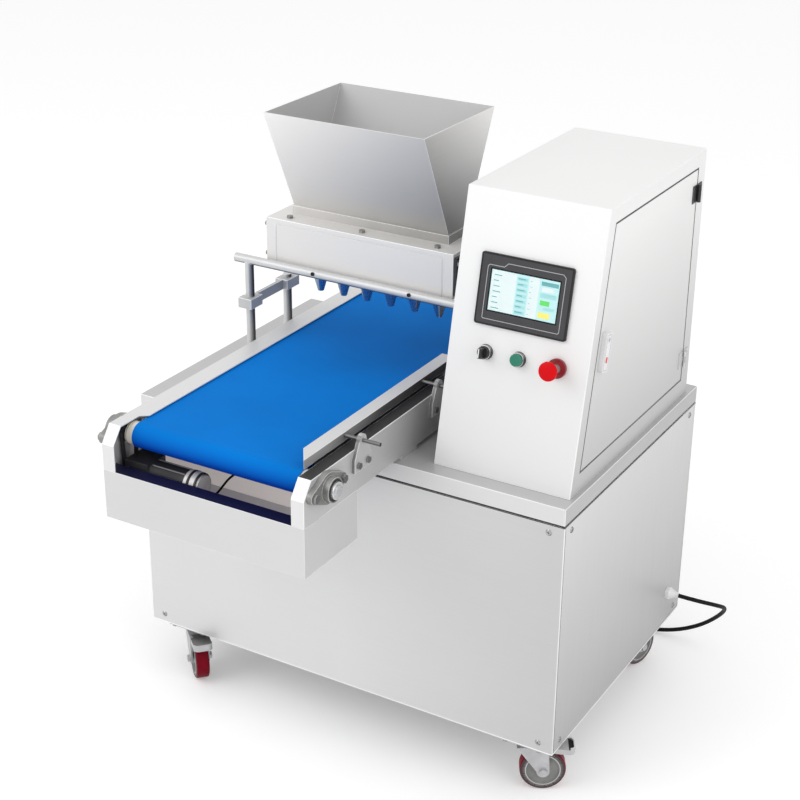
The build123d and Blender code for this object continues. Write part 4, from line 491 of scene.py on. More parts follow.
# Sides of the wheels' treads: a darker copy of the red tread, painted shade.
tread_side_painted_shade = finish("wheel_tread_side_painted_shade", (0.045, 0.022, 0.028), 0.15, 0.0, (0.4, 0.5), 25.0, relief=0.08)
hub_gray = finish("wheel_hub", (0.24, 0.24, 0.23), 0.12, 0.2, (0.4, 0.5), 30.0, 500.0, relief=0.1)
green_cap = finish("green_cap", (0.0, 0.19, 0.115), 0.05, 0.0, (0.25, 0.32), 40.0, 800.0, coat=0.3)
red_cap = finish("red_cap", (0.68, 0.0, 0.004), 0.05, 0.0, (0.32, 0.4), 30.0, 800.0, specular=0.15)
dark_red = finish("dark_red_collar", (0.22, 0.002, 0.006), 0.08, 0.0, (0.3, 0.4), 30.0, 800.0, coat=0.2)
mark_red = finish("mark_red", (0.75, 0.06, 0.025), 0.05, 0.0, (0.35, 0.45), 30.0, 800.0)
# Chrome bezels: a dark painted reflection on the lower right.
bezel_chrome = finish("bezel_chrome", (0.6, 0.6, 0.61), 0.04, 0.9, (0.2, 0.28), 30.0, 300.0, relief=0.02,
                      painted_dark_side=((0.06, 0.06, 0.065), (0.9, -0.1, -0.4), 0.35, 0.8))
module_gray = finish("module_gray", (0.5, 0.5, 0.51), 0.06, 0.0, (0.45, 0.55), 20.0, 700.0)
# Clamps and link bar: painted shade on the faces turned right and down.
clamp_alloy = finish("clamp_alloy", gray(0.55), 0.06, 0.3, (0.4, 0.52), 25.0, 600.0, relief=0.15,
                     painted_dark_side=(gray(0.4), (0.75, 0.2, -0.65), 0.4, 0.75))
handle_white = finish("handle_white", (0.82, 0.82, 0.83), 0.03, 0.1, (0.25, 0.33), 25.0, 600.0)
mark_white = finish("mark_white", gray(0.85), 0.04, 0.0, (0.4, 0.5), 60.0, 900.0)
line_gray = finish("line_gray", (0.45, 0.46, 0.48), 0.05, 0.0, (0.35, 0.45), 60.0, 900.0)
screen_black = finish("screen_black", (0.01, 0.01, 0.012), 0.1, 0.0, (0.15, 0.22), 40.0, 900.0, relief=0.02)
screen_pale = glow("screen_pale", (0.62, 0.85, 0.86))
screen_white = glow("screen_white", (0.8, 0.88, 0.88))
screen_teal = glow("screen_teal", (0.2, 0.5, 0.52))
screen_mint = glow("screen_mint", (0.45, 0.75, 0.76))
screen_green = glow("screen_green", (0.2, 0.78, 0.22))
screen_yellow = glow("screen_yellow", (0.92, 0.86, 0.25))


# Mesh tools: outlines are in millimetres, on the local XY plane of a place

weld_distance = 1e-6
flat_angle = math.radians(0.3)
sharp_angle = math.radians(35)
eased_angle = math.radians(30)
eased_width = 2.2


def rectangle(x0, x1, y0, y1):
    """Outline of a rectangle, anticlockwise."""
    return [(x0, y0), (x1, y0), (x1, y1), (x0, y1)]


def rounded_rectangle(x0, x1, y0, y1, radius, steps=6):
    """Outline of a rectangle with round corners, anticlockwise."""
    outline = []
    middles = (
        (x1 - radius, y1 - radius),
        (x0 + radius, y1 - radius),
        (x0 + radius, y0 + radius),
        (x1 - radius, y0 + radius),
    )
    for quarter, (x, y) in enumerate(middles):
        for step in range(steps + 1):
            angle = math.pi / 2 * (quarter + step / steps)
            outline.append((x + radius * math.cos(angle), y + radius * math.sin(angle)))
    return outline


def inset(outline, distance):
    """Anticlockwise outline moved inwards by a distance, or outwards by a negative one."""
    points = [Vector(point) for point in outline]
    moved = []
    for number, point in enumerate(points):
        before = (point - points[number - 1]).normalized()
        after = (points[(number + 1) % len(points)] - point).normalized()
        first = Vector((-before.y, before.x))
        second = Vector((-after.y, after.x))
        moved.append(tuple(point + (first + second) * distance / (1 + first.dot(second))))
    return moved


def ring_of(shape, place, outline, height):
    """Vertices of an outline at a height over a place."""
    return [shape.verts.new(place @ (Vector((x, y, height)) * mm)) for x, y in outline]


def bridge(shape, first, second):
    """Faces between two rings of vertices."""
    for number in range(len(first)):
        after = (number + 1) % len(first)
        shape.faces.new((first[number], first[after], second[after], second[number]))


def prism(outline, place, low, high):
    """Closed prism of an outline."""
    shape = bmesh.new()
    bottom = ring_of(shape, place, outline, low)
    top = ring_of(shape, place, outline, high)
    shape.faces.new(list(reversed(bottom)))
    shape.faces.new(top)
    bridge(shape, bottom, top)
    return shape


def band(outer, inner, place, low, high):
    """Closed flat ring between two outlines with as many points each."""
    shape = bmesh.new()
    rings = [
        ring_of(shape, place, outer, low),
        ring_of(shape, place, outer, high),
        ring_of(shape, place, inner, high),
        ring_of(shape, place, inner, low),
    ]
    for number in range(4):
        bridge(shape, rings[number], rings[(number + 1) % 4])
    return shape


def lathe(profile, place, steps=48):
    """Closed solid turned about the local Z axis, from (radius, height) points in a closed loop."""
    shape = bmesh.new()
    rows = []
    for radius, height in profile:
        if radius == 0:
            rows.append([shape.verts.new(place @ Vector((0, 0, height * mm)))])
        else:
            angles = [2 * math.pi * step / steps for step in range(steps)]
            outline = [(radius * math.cos(angle), radius * math.sin(angle)) for angle in angles]
            rows.append(ring_of(shape, place, outline, height))
    for number, row in enumerate(rows):
        following = rows[(number + 1) % len(rows)]
        if len(row) == 1 and len(following) == 1:
            continue
        for step in range(steps):
            after = (step + 1) % steps
            face = [row[step % len(row)], row[after % len(row)]]
            face += [following[after % len(following)], following[step % len(following)]]
            shape.faces.new(list(dict.fromkeys(face)))
    return shape


def ring_profile(inner, outer, low, high):
    """Profile of a plain ring for the lathe."""
    return [(inner, low), (outer, low), (outer, high), (inner, high)]


def add_piece(name, shape, materials, body):
    """Object from a mesh, riding on a body and taking the given finishes."""
    mesh = bpy.data.meshes.new(name)
    shape.to_mesh(mesh)
    shape.free()
    mesh.polygons.foreach_set("use_smooth", [True] * len(mesh.polygons))
    mesh.set_sharp_from_angle(angle=sharp_angle)
    for material in materials:
        mesh.materials.append(material)
    piece = add_object(name, mesh)
    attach(piece, body)
    return piece


def add_detail(name, shape, material, body="machine"):
    """New closed piece in one material."""
    bmesh.ops.recalc_face_normals(shape, faces=shape.faces)
    return add_piece(name, shape, [material], body)


def is_eased(edge, bevel, least):
    """Whether an edge is sharp and long, between faces wide enough for its bevel."""
    if len(edge.link_faces) != 2 or edge.calc_length() < least * mm:
        return False
    if edge.calc_face_angle(0.0) < eased_angle:
        return False
    width = min(face.calc_area() for face in edge.link_faces) / edge.calc_length()
    return width >= eased_width * bevel * mm


def dress(node, material, edge=None, bevel=0.8, least=15.0, regions=()):
    """Copy of a part with eased edges that stands for it; the edge finish, where given, is a lighter one on
    the bevels: a painted highlight.

    regions are (material, test of a face's middle, in millimetres, and its normal).
    """
    source = nodes[node]
    shape = bmesh.new()
    shape.from_mesh(source.data)
    bmesh.ops.remove_doubles(shape, verts=shape.verts, dist=weld_distance)
    if bevel:
        bmesh.ops.dissolve_limit(shape, angle_limit=flat_angle, verts=shape.verts, edges=shape.edges)
    for face in shape.faces:
        middle = face.calc_center_median() / mm
        matches = (number for number, (look, test) in enumerate(regions, 1) if test(middle, face.normal))
        face.material_index = next(matches, 0)
    materials = [material] + [look for look, test in regions]
    edges = [candidate for candidate in shape.edges if is_eased(candidate, bevel, least)]
    if bevel and edges:
        bmesh.ops.bevel(shape, geom=edges, offset=bevel * mm, segments=2, profile=0.5, affect="EDGES",
                        clamp_overlap=True, material=len(materials) if edge else -1)
    if edge:
        materials.append(edge)
    piece = add_piece(f"{node}_dressed", shape, materials, source["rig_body"])
    normals = piece.modifiers.new("flat_faces", "WEIGHTED_NORMAL")
    normals.keep_sharp = True
    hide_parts(node)


def faces(direction, least=0.9):
    """Test for faces that look along a direction."""
    return lambda middle, normal: normal.dot(Vector(direction)) > least


def paint(node, material):
    """Finish for a part whose own mesh stays."""
    nodes[node].data.materials.clear()
    nodes[node].data.materials.append(material)


def facing_place(origin, normal, up=to_top):
    """Place whose local Z is a face's normal and whose local Y lies along a direction."""
    z = Vector(normal).normalized()
    x = Vector(up).cross(z).normalized()
    y = z.cross(x)
    return Matrix.Translation(Vector(origin) * mm) @ Matrix((x, y, z)).transposed().to_4x4()


def islands(node):
    """Lowest and highest corner of each separate solid in a part, in millimetres."""
    shape = bmesh.new()
    shape.from_mesh(nodes[node].data)
    bmesh.ops.remove_doubles(shape, verts=shape.verts, dist=weld_distance)
    left = set(shape.verts)
    found = []
    while left:
        group = {left.pop()}
        fresh = list(group)
        while fresh:
            vert = fresh.pop()
            near = {edge.other_vert(vert) for edge in vert.link_edges} - group
            group |= near
            fresh += near
        left -= group
        places = [vert.co / mm for vert in group]
        low = Vector([min(place[axis] for place in places) for axis in range(3)])
        high = Vector([max(place[axis] for place in places) for axis in range(3)])
        found.append((low, high))
    shape.free()
    return found


# Base

# Black in the gap under the deck's lip and a black line just below the lip: painted shade and painted shadow
lip_shade_inset = 0.8
lip_shade_sheet = 2.0
lip_shadow_line = 1.8
lip_shadow_line_gap = 0.1
strip_proud = 0.08
strip_depth = 0.4
strip_corner = 0.3
strip_margin = 1.0


def base_outline(depth):
    """Outline of the base cabinet, set in by a depth."""
    return rectangle(side_low.x + depth, side_high.x - depth, panel_low.y + depth, side_high.y - depth)


def dress_base():
    """Sheet panels with painted highlights on their bevels, the deck's top and right-hand lip in painted
    shade, black in the gap under the deck's lip for its shade, and a painted shadow line below the lip.
    """
    def is_return(middle, normal):
        return abs(normal.x) > 0.9

    def is_lip(middle, normal):
        return abs(normal.z) < 0.1

    dress("front_panel", front_steel, steel_edge_highlight, 0.9, regions=[(steel_edge_highlight, is_return)])
    dress("base_panels", steel_z, steel_edge_highlight, 0.9)
    regions = [(side_lip_painted_shade, faces(to_right)), (lip_steel, is_lip)]
    dress("deck", deck_steel_painted_shade, steel_edge_highlight, 1.3, regions=regions)
    # Painted shade: black in the gap under the deck's lip.
    seal = band(base_outline(lip_shade_inset), base_outline(lip_shade_sheet), Matrix(), panel_high.z, deck_low.z)
    add_detail("lip_gap_painted_shade", seal, black_rubber)
    # Painted shadow of the lip: a black line on the panels just below it.
    outer, inner = base_outline(-strip_proud), base_outline(strip_depth)
    line = band(outer, inner, Matrix(), panel_high.z - lip_shadow_line, panel_high.z - lip_shadow_line_gap)
    add_detail("lip_shadow_line", line, black_rubber)
    paint("base_frame", steel_z)
    paint("lift_actuator", black_paint)
    paint("hex_bolts", bolt_steel)
    paint("panel_screws", screw_steel)


hem_start = 0.3
hem_height = 3.2
seam_place = 4.6
seam_width = 1.5


def add_strip(name, origin, normal, across_span, up_span, material):
    """Thin upright strip on a face, its spans measured from an origin on the face."""
    place = facing_place(origin, normal)
    outline = rounded_rectangle(*across_span, *up_span, strip_corner, 2)
    add_detail(name, prism(outline, place, -strip_depth, strip_proud), material)


def add_base_lines():
    """Folded hems along the panels' lower edges in a lighter steel, a painted highlight, and the dark seams
    behind the front panel's edges.
    """
    low = side_low.z
    middle_x = ((side_low + side_high) / 2).x
    middle_y = (side_high.y + panel_low.y) / 2
    half_width = (side_high.x - side_low.x) / 2 - strip_margin
    half_depth = (side_high.y - panel_low.y) / 2 - strip_margin
    hem = (hem_start, hem_height)
    span = (-half_width, half_width)
    for name, y, normal in (("front", panel_low.y, to_front), ("rear", side_high.y, to_back)):
        add_strip(f"{name}_hem", (middle_x, y, low), normal, span, hem, steel_edge_highlight)
    span = (-half_depth, half_depth)
    seam = (hem_height + strip_margin, panel_high.z - low - strip_margin)
    start = seam_place - half_depth - strip_margin
    for name, x, side in (("left", side_low.x, -1), ("right", side_high.x, 1)):
        origin, normal = (x, middle_y, low), (side, 0, 0)
        add_strip(f"{name}_hem", origin, normal, span, hem, steel_edge_highlight)
        seam_span = sorted((side * start, side * (start + seam_width)))
        add_strip(f"{name}_seam", origin, normal, seam_span, seam, dark_seal_and_painted_shade)


recess_length = 5.6
recess_width = 1.1
recess_depth = 0.35
recess_proud = 0.05
# Numbers by the heads' places: from left to right, then from front to back, then upwards
recess_numbers = (13, 9, 7, 14, 15, 4, 2, 6, 3, 11, 5, 10)


def screw_heads():
    """Middles and outward directions of the panel screws' heads by place, without the outermost ones."""
    heads = []
    for low, high in islands("panel_screws"):
        middle = (low + high) / 2
        size = high - low
        thin_axis = min(range(2), key=lambda axis: size[axis])
        outward = Vector((0, 0, 0))
        outward[thin_axis] = math.copysign(1, middle[thin_axis])
        head = middle.copy()
        head[thin_axis] = high[thin_axis] if outward[thin_axis] > 0 else low[thin_axis]
        if head.x >= cad_box[0][0] / mm + recess_proud:
            heads.append((head, outward))
    return sorted(heads, key=lambda entry: [round(value) for value in entry[0]])


def add_screw_recesses():
    """Black crosses on the panel screws' heads, painted shade for their cross recesses; the outermost heads
    stay plain.
    """
    half = recess_length / 2
    thin = recess_width / 2
    outline = [
        (half, -thin), (half, thin), (thin, thin), (thin, half), (-thin, half), (-thin, thin),
        (-half, thin), (-half, -thin), (-thin, -thin), (-thin, -half), (thin, -half), (thin, -thin),
    ]
    for number, (head, outward) in sorted(zip(recess_numbers, screw_heads(), strict=True)):
        shape = prism(outline, facing_place(head, outward), -recess_depth, recess_proud)
        add_detail(f"screw_recess_{number}", shape, black_oxide_and_recess_shade)


# Casters

tread_inner = 44.5
tread_side_width = 4.0
hub_core = 14.0
wheel_width = 32.0
ring_inner = 36.3
ring_outer = 38.5


def wheel_regions(center, axle):
    """Finishes of a wheel by the distance from its axle."""
    def from_axle(point):
        arm = point - center
        return (arm - axle * arm.dot(axle)).length

    def is_tread(middle, normal):
        return from_axle(middle) > tread_inner and abs(normal.dot(axle)) < 0.75

    def is_tread_side(middle, normal):
        return from_axle(middle) > tread_inner - tread_side_width

    def is_core(middle, normal):
        return from_axle(middle) < hub_core

    return [(tread_red, is_tread), (tread_side_painted_shade, is_tread_side), (zinc, is_core)]


def dress_casters():
    """Plated forks and pedals with painted highlights on their bevels, painted light and shade on the
    pedals' tops, and red treads with sides in painted shade on gray hubs, with a plated ring on each side.
    """
    def is_end_lip(middle, normal):
        return normal.z > 0.9 and middle.dot(pedal_heading) > pedal_start + lip_start

    paint("caster_plates", zinc)
    ring = [(ring_inner, -0.4), (ring_outer, -0.4), (ring_outer, 0.1), (ring_inner, 0.25)]
    for corner in corners:
        low, high = box(f"{corner}_wheel")
        center = (low + high) / 2
        axle = Vector(joints[f"{corner}_spin"]["axis"])
        dress(f"{corner}_wheel", hub_gray, bevel=0.0, regions=wheel_regions(center, axle))
        dress(f"{corner}_fork", zinc, steel_edge_highlight, 0.7, 3.0)
        for name, side in (("near", -1), ("far", 1)):
            place = facing_place(center + axle * side * wheel_width / 2, axle * side)
            shape = lathe(ring, place, 64)
            add_detail(f"{corner}_wheel_ring_{name}", shape, zinc, f"{corner}_rolling")
    dress("front_left_brake_pedal", zinc, steel_edge_highlight, 0.7, 2.0, [(pedal_top_painted_shade, faces(to_top))])
    regions = [(steel_edge_highlight, is_end_lip), (pedal_top_lit_and_shaded, faces(to_top))]
    dress("front_right_brake_pedal", zinc, steel_edge_highlight, 0.7, 2.0, regions)


# Conveyor

member_flange = 30.0
member_nose = 30.0
shaft_zone = 14.0
groove_place = 16.0
groove_width = 2.0
groove_depth = 1.0
groove_proud = 0.2
collar_radius = 18.0
collar_reach = 6.0
seal_outer = 23.0
# Black strip by the belt's right edge, standing for the shade under the guide rail
shade_strip_gap = 0.5
shade_strip_play = 0.3
shade_strip_margin = 5.0
shade_strip_low = 1.8
shade_strip_high = 0.1
rod_zone = 33.0
leg_zone = 36.0


def dress_roller(node, body):
    """Cream sleeve on a steel shaft, with a dark groove near each end of the sleeve."""
    low, high = box(node)
    center = (low + high) / 2
    radius = (high.z - low.z) / 2

    def is_shaft(middle, normal):
        return math.hypot(middle.y - center.y, middle.z - center.z) < shaft_zone

    dress(node, sleeve_cream, None, 0.8, 0.0, [(machined, is_shaft)])
    groove = ring_profile(radius - groove_depth, radius + groove_proud, 0, groove_width)
    for name, x, side in (("left", belt_low.x, -1), ("right", belt_high.x, 1)):
        place = facing_place((x + side * groove_place, center.y, center.z), (side, 0, 0))
        add_detail(f"{node}_groove_{name}", lathe(groove, place), sleeve_ring, body)


def dress_bearings():
    """Cast housings with a steel collar round the shaft and a dark seal round the collar."""
    def is_collar(middle, normal):
        edge = min(middle.x - bearing_low.x, bearing_high.x - middle.x)
        return edge < collar_reach - 0.5

    dress("roller_bearings", bearing_cast, steel_edge_highlight, 0.9, 0.0, [(polished, is_collar)])
    inner = collar_radius + 0.1
    seal = [(inner, -0.5), (seal_outer, -0.5), (seal_outer, 0.5), (inner, 0.8)]
    sides = (("left", bearing_low.x + collar_reach, -1), ("right", bearing_high.x - collar_reach, 1))
    for end, low, high in (("front", roller_low, roller_high), ("rear", rear_roller_low, rear_roller_high)):
        center = (low + high) / 2
        for name, x, side in sides:
            place = facing_place((x, center.y, center.z), (side, 0, 0))
            add_detail(f"bearing_seal_{end}_{name}", lathe(seal, place), black_rubber)


def dress_conveyor():
    """Folded side members, belt, guide rail and its brackets, with painted light on the members' front
    chamfers and painted shade on the right member's side and top flange, on the rail's outer leg, on the
    brackets' fronts, on the slider bed and in a black strip by the belt's edge.
    """
    # Right member's top flange under the rail: painted shade
    def is_shaded_flange(middle, normal):
        return normal.z > 0.9 and middle.z > member_high.z - 1 and middle.y > member_low.y + member_nose

    def is_nose(middle, normal):
        return normal.y < -0.3 and normal.z > 0.3

    dress("left_side_member", steel_y, steel_edge_highlight, 1.0, regions=[(nose_steel_painted_light, is_nose)])
    regions = [(black_tie_and_painted_shade, is_shaded_flange), (member_side_painted_shade, faces(to_right)), (nose_steel_painted_light, is_nose)]
    dress("right_side_member", steel_y, steel_edge_highlight, 1.2, regions=regions)
    # Slider bed in black: painted shade
    paint("slider_bed", black_tie_and_painted_shade)
    # Black strip by the belt's right edge: painted shade
    outline = rectangle(belt_high.x + shade_strip_gap, member_high.x - member_flange - shade_strip_play,
                        roller_high.y + shade_strip_margin, rear_roller_low.y - shade_strip_margin)
    shade_strip = prism(outline, Matrix(), belt_high.z - shade_strip_low, belt_high.z - shade_strip_high)
    add_detail("belt_edge_painted_shade", shade_strip, black_tie_and_painted_shade)
    paint("conveyor_belt", belt_blue)

    def is_rod(middle, normal):
        return middle.x > member_high.x - rod_zone

    def is_outer_leg(middle, normal):
        return normal.x > 0.9 and middle.x > member_high.x - leg_zone

    dress("guide_rail", steel_y, steel_edge_highlight, regions=[(rod_steel, is_rod), (rail_shade, is_outer_leg)])
    dress("guide_brackets", bracket_steel, steel_edge_highlight, 0.8, 5.0, [(bracket_front_painted_shade, faces(to_front, 0.5))])


# Conveyor drive in the front tray

tray_middle_z = (motor_low.z + motor_high.z) / 2
motor_radius = 28.0
motor_cap_radius = 24.0
motor_axis_z = 705.0
cover_length = 34.0
cover_proud = 0.4
cover_ring = 6.0
cover_ring_place = 8.0
rod_radius = 2.0
rod_start = 58.0
rod_sunk = 0.8
rod_angles = (math.radians(60), math.radians(105))
back_wall = 100.0


def dress_drive():
    """Tray with a painted reflection of the belt on its flange and painted light on its back wall, black
    gear motor with a light end cover, and its wire.
    """
    def is_flange(middle, normal):
        return normal.z > 0.9 and middle.z > tray_middle_z

    def is_back_wall(middle, normal):
        return normal.y < -0.9 and middle.y > tray_low.y + back_wall

    regions = [(flange_painted_reflection, is_flange), (tray_wall_painted_light, is_back_wall)]
    dress("front_tray", tray_steel, steel_edge_highlight, 0.9, regions=regions)
    dress("conveyor_motor", black_paint, None, 1.0, 3.0)
    center = Vector((motor_high.x, (roller_low.y + roller_high.y) / 2, motor_axis_z))
    place = facing_place(center, to_right)
    radius = motor_radius + cover_proud
    inner = motor_radius - 1
    cap = motor_cap_radius + 0.3
    shell = [
        (inner, -cover_length), (radius, -cover_length), (radius, -9), (radius - 3, -5.5), (cap, -5.2),
        (cap, -0.2), (motor_cap_radius - 2, 0.3), (0, 0.3), (0, -1), (inner, -6),
    ]
    add_detail("motor_end_cover", lathe(shell, place), cover_alloy)
    low = cover_ring_place - cover_length
    ring = ring_profile(radius - 0.5, radius + 0.7, low, low + cover_ring)
    add_detail("motor_cover_ring", lathe(ring, place), black_rubber)
    start = motor_low.x + rod_start
    rod = ring_profile(0, rod_radius, 0, motor_high.x - cover_length - start)
    arm = radius - rod_sunk
    for number, angle in enumerate(rod_angles):
        y = center.y - arm * math.cos(angle)
        z = center.z + arm * math.sin(angle)
        shape = lathe(rod, facing_place((start, y, z), to_right), 16)
        add_detail(f"motor_tie_rod_{number + 1}", shape, rod_steel)
    for node in ("drive_pulley", "motor_pulley"):
        dress(node, black_paint, None, 0.8, 0.0)
    paint("timing_belt", black_rubber)
    motor_wire.data.materials.append(cord_black)
    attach(motor_wire, "machine")


# Feed head

cover_seam_inset = 2.0
cover_seam_width = 1.0


def dress_head():
    """Head of bright sheet and plate, nozzles with a painted reflection of the belt, hopper with painted
    shade inside, on its right side and towards its lower right.
    """
    dress("head_body", head_steel, steel_edge_highlight, 1.2)
    dress("head_front_cover", head_steel, None, 0.6)
    span = (0, cover_seam_width)
    seam = (cover_seam_inset, cover_high.z - cover_low.z - cover_seam_inset)
    left_x = cover_low.x + cover_seam_inset
    right_x = cover_high.x - cover_seam_inset - cover_seam_width
    for name, x in (("left", left_x), ("right", right_x)):
        origin = (x, cover_low.y, cover_low.z)
        add_strip(f"cover_seam_{name}", origin, to_front, span, seam, line_gray)
    dress("head_carrier", black_paint, None, 1.0)
    hopper_center = (hopper_low + hopper_high) / 2

    def is_inside(middle, normal):
        arm = middle - hopper_center
        return normal.x * arm.x + normal.y * arm.y < -1 and abs(normal.z) < 0.9

    regions = [(hopper_inside_painted_shade, is_inside), (hopper_side_painted_shade, faces(to_right, 0.5))]
    dress("hopper", hopper_steel, steel_edge_highlight, 1.2, regions=regions)
    for end in ("front", "rear"):
        paint(f"{end}_feed_roller", machined)
        paint(f"{end}_feed_gear", machined)
    paint("nozzle_plate", machined)
    dress("nozzles", nozzle_steel_painted_reflection, None, 0.6, 0.0)
    paint("feed_motor", black_paint)


# Cutter

bar_screw_places = (-199.5, 43.0)
bar_screw_tilt = math.radians(15)
bar_screw_sunk = 0.6
bar_radius = 10.0


def dress_cutter():
    """Tubes with a soft shine and a painted dark side, alloy clamps with painted shade on their right, and
    two socket screws on the bar.
    """
    def is_bar(middle, normal):
        return middle.z > bar_high.z - 2 * bar_radius - 1

    dress("cutter_bar", tube_steel, steel_edge_highlight, 0.8, 0.0, [(bar_steel, is_bar)])
    dress("guide_post", tube_steel, steel_edge_highlight, 0.8, 0.0)
    dress("post_clamps", clamp_alloy, steel_edge_highlight, 1.0, 8.0)
    dress("link_bar", clamp_alloy, steel_edge_highlight, 0.8, 8.0)
    axis = Vector((0, (bar_low.y + bar_high.y) / 2, bar_high.z - bar_radius))
    outward = Vector((0, -math.cos(bar_screw_tilt), math.sin(bar_screw_tilt)))
    head = [(0, 0), (4.2, 0), (4.2, 3.2), (3.7, 3.7), (2.2, 3.7), (2.2, 1.4), (0, 1.4)]
    for number, x in enumerate(bar_screw_places):
        origin = axis + Vector((x, 0, 0)) + outward * (bar_radius - bar_screw_sunk)
        shape = lathe(head, facing_place(origin, outward, across), 24)
        add_detail(f"bar_screw_{number + 1}", shape, black_oxide_and_recess_shade, "cutter")


# Control cabinet

mark_depth = 0.3
mark_proud = 0.25
door_front = 35.0
door_top = 37.0
door_bottom = 46.0
door_back = 44.0
door_gap = 2.5
# Band of painted shade round the door's gap: its width, depth and how far it stands proud
door_gap_shade = 1.8
door_gap_shade_depth = 0.3
door_gap_shade_proud = 0.1
door_seal_play = 0.1
door_seal_lap = 0.2
door_seal_sunk = 0.7
cabinet_sheet = 2.0
cabinet_width = 308.5
hinge_zone = 75.0


def door_outline():
    """Door's outline on the cabinet's side as (y, z), anticlockwise seen from the right."""
    z0 = cabinet_low.z + door_bottom
    z1 = cabinet_high.z - door_top
    front = door_front / math.cos(slant)
    y0 = cabinet_low.y + (z0 - cabinet_low.z) * math.tan(slant) + front
    y1 = cabinet_low.y + (z1 - cabinet_low.z) * math.tan(slant) + front
    y2 = cabinet_high.y - door_back
    return [(y0, z0), (y2, z0), (y2, z1), (y1, z1)]


def dress_cabinet():
    """Painted cabinet and door with painted highlights on their bevels, painted shade towards the bottom and
    a lighter front, painted light; a dark seal in the gap and a band of painted shade round it, and the
    upper hinge in black.
    """
    right_x = cabinet_low.x + cabinet_width
    middle_z = (cabinet_low.z + cabinet_high.z) / 2

    def is_hinge(middle, normal):
        return middle.x > right_x + 0.5 and middle.y > cabinet_high.y - hinge_zone and middle.z > middle_z

    regions = [(black_paint, is_hinge), (front_paint_painted_light, faces(to_front))]
    dress("control_cabinet", cabinet_paint, paint_edge_highlight, 1.9, 25.0, regions)
    dress("cabinet_door", cabinet_paint, paint_edge_highlight, 0.9, 25.0, [(black_paint, is_hinge)])
    outline = door_outline()
    place = Matrix(((0, 0, 1, right_x * mm), (1, 0, 0, 0), (0, 1, 0, 0), (0, 0, 0, 1)))
    outer, inner = inset(outline, -door_gap + door_seal_play), inset(outline, -door_seal_lap)
    seal = band(outer, inner, place, -cabinet_sheet, -door_seal_sunk)
    add_detail("door_seal_and_painted_shade", seal, dark_seal_and_painted_shade)
    # Band of painted shade on the cabinet round the door's gap.
    outer, inner = inset(outline, -door_gap - door_gap_shade), inset(outline, -door_gap)
    line = band(outer, inner, place, -door_gap_shade_depth, door_gap_shade_proud)
    add_detail("door_gap_shade", line, dark_seal_and_painted_shade)


latch_width = 28.0
latch_length = 80.0
latch_corner = 8.0
latch_lock = 26.0
latch_mark = -15.0
latch_drop = 28.0
latch_border = 3.2
latch_rim = 1.2


def dress_latch():
    """Pale latch handle with a raised rim, a lock and a red mark."""
    dress("latch_handle", handle_white, steel_edge_highlight, 1.5, 2.0)
    face_x = box("latch_handle")[1].x
    pivot = Vector(joints["latch_turn"]["pos_m"]) / mm
    up = Vector((0, math.sin(slant), math.cos(slant)))
    middle = pivot - up * latch_drop
    place = facing_place((face_x, middle.y, middle.z), to_right, up)
    half_width = latch_width / 2
    half_length = latch_length / 2
    outline = rounded_rectangle(-half_width, half_width, -half_length, half_length, latch_corner)
    outer, inner = inset(outline, latch_border), inset(outline, latch_border + latch_rim)
    rim = band(outer, inner, place, -mark_depth, mark_proud)
    add_detail("latch_rim", rim, line_gray, "latch")
    lock_place = place @ Matrix.Translation((0, latch_lock * mm, 0))
    lock = [(0, -0.2), (6.0, -0.2), (6.0, 0.3), (5.4, 0.5), (4.6, 0.5), (4.4, 0.2), (0, 0.2)]
    add_detail("latch_lock", lathe(lock, lock_place), polished, "latch")
    # Key slot in black: painted shade.
    key_slot = prism(rounded_rectangle(-0.7, 0.7, -2.8, 2.8, 0.5, 3), lock_place, 0.1, 0.35)
    add_detail("latch_key_slot", key_slot, black_oxide_and_recess_shade, "latch")
    mark_outline = rounded_rectangle(-4.2, 4.2, latch_mark - 6.5, latch_mark + 6.5, 4.1)
    add_detail("latch_mark", prism(mark_outline, place, -0.2, 0.3), mark_red, "latch")


# Operator panel, on the cabinet's sloped front

panel_left = 52.3
panel_rise = 311.0
panel_width = 201.0
panel_height = 145.0
panel_thick = 6.0
view_width = 154.0
view_height = 88.0
view_border = 3.0
view_sunk = 0.35
view_sheet = 0.4
outline_width = 1.3
bezel_corner = 5.0
rim_width = 3.6


def dress_operator_panel():
    """Dark bezel with a darker chamfer and rim, and a thin printed outline."""
    def is_rim(middle, normal):
        return normal.dot(front_normal) < 0.7

    dress("hmi_panel", bezel_plastic, bevel=0.0, regions=[(bezel_edge, is_rim)])
    place = sloped_front @ Matrix.Translation(Vector((panel_left, panel_rise, panel_thick)) * mm)
    outline = [
        (18, 12), (183, 12), (186, 15), (186, 124), (180, 130),
        (60, 130), (52, 122), (20, 122), (16, 118), (16, 14),
    ]
    line = band(outline, inset(outline, outline_width), place, -mark_depth, mark_proud)
    add_detail("bezel_outline", line, line_gray)
    outer = rounded_rectangle(0.2, panel_width - 0.2, 0.2, panel_height - 0.2, bezel_corner)
    rim = band(outer, inset(outer, rim_width), place, -0.4, 0.15)
    add_detail("bezel_rim", rim, bezel_edge)


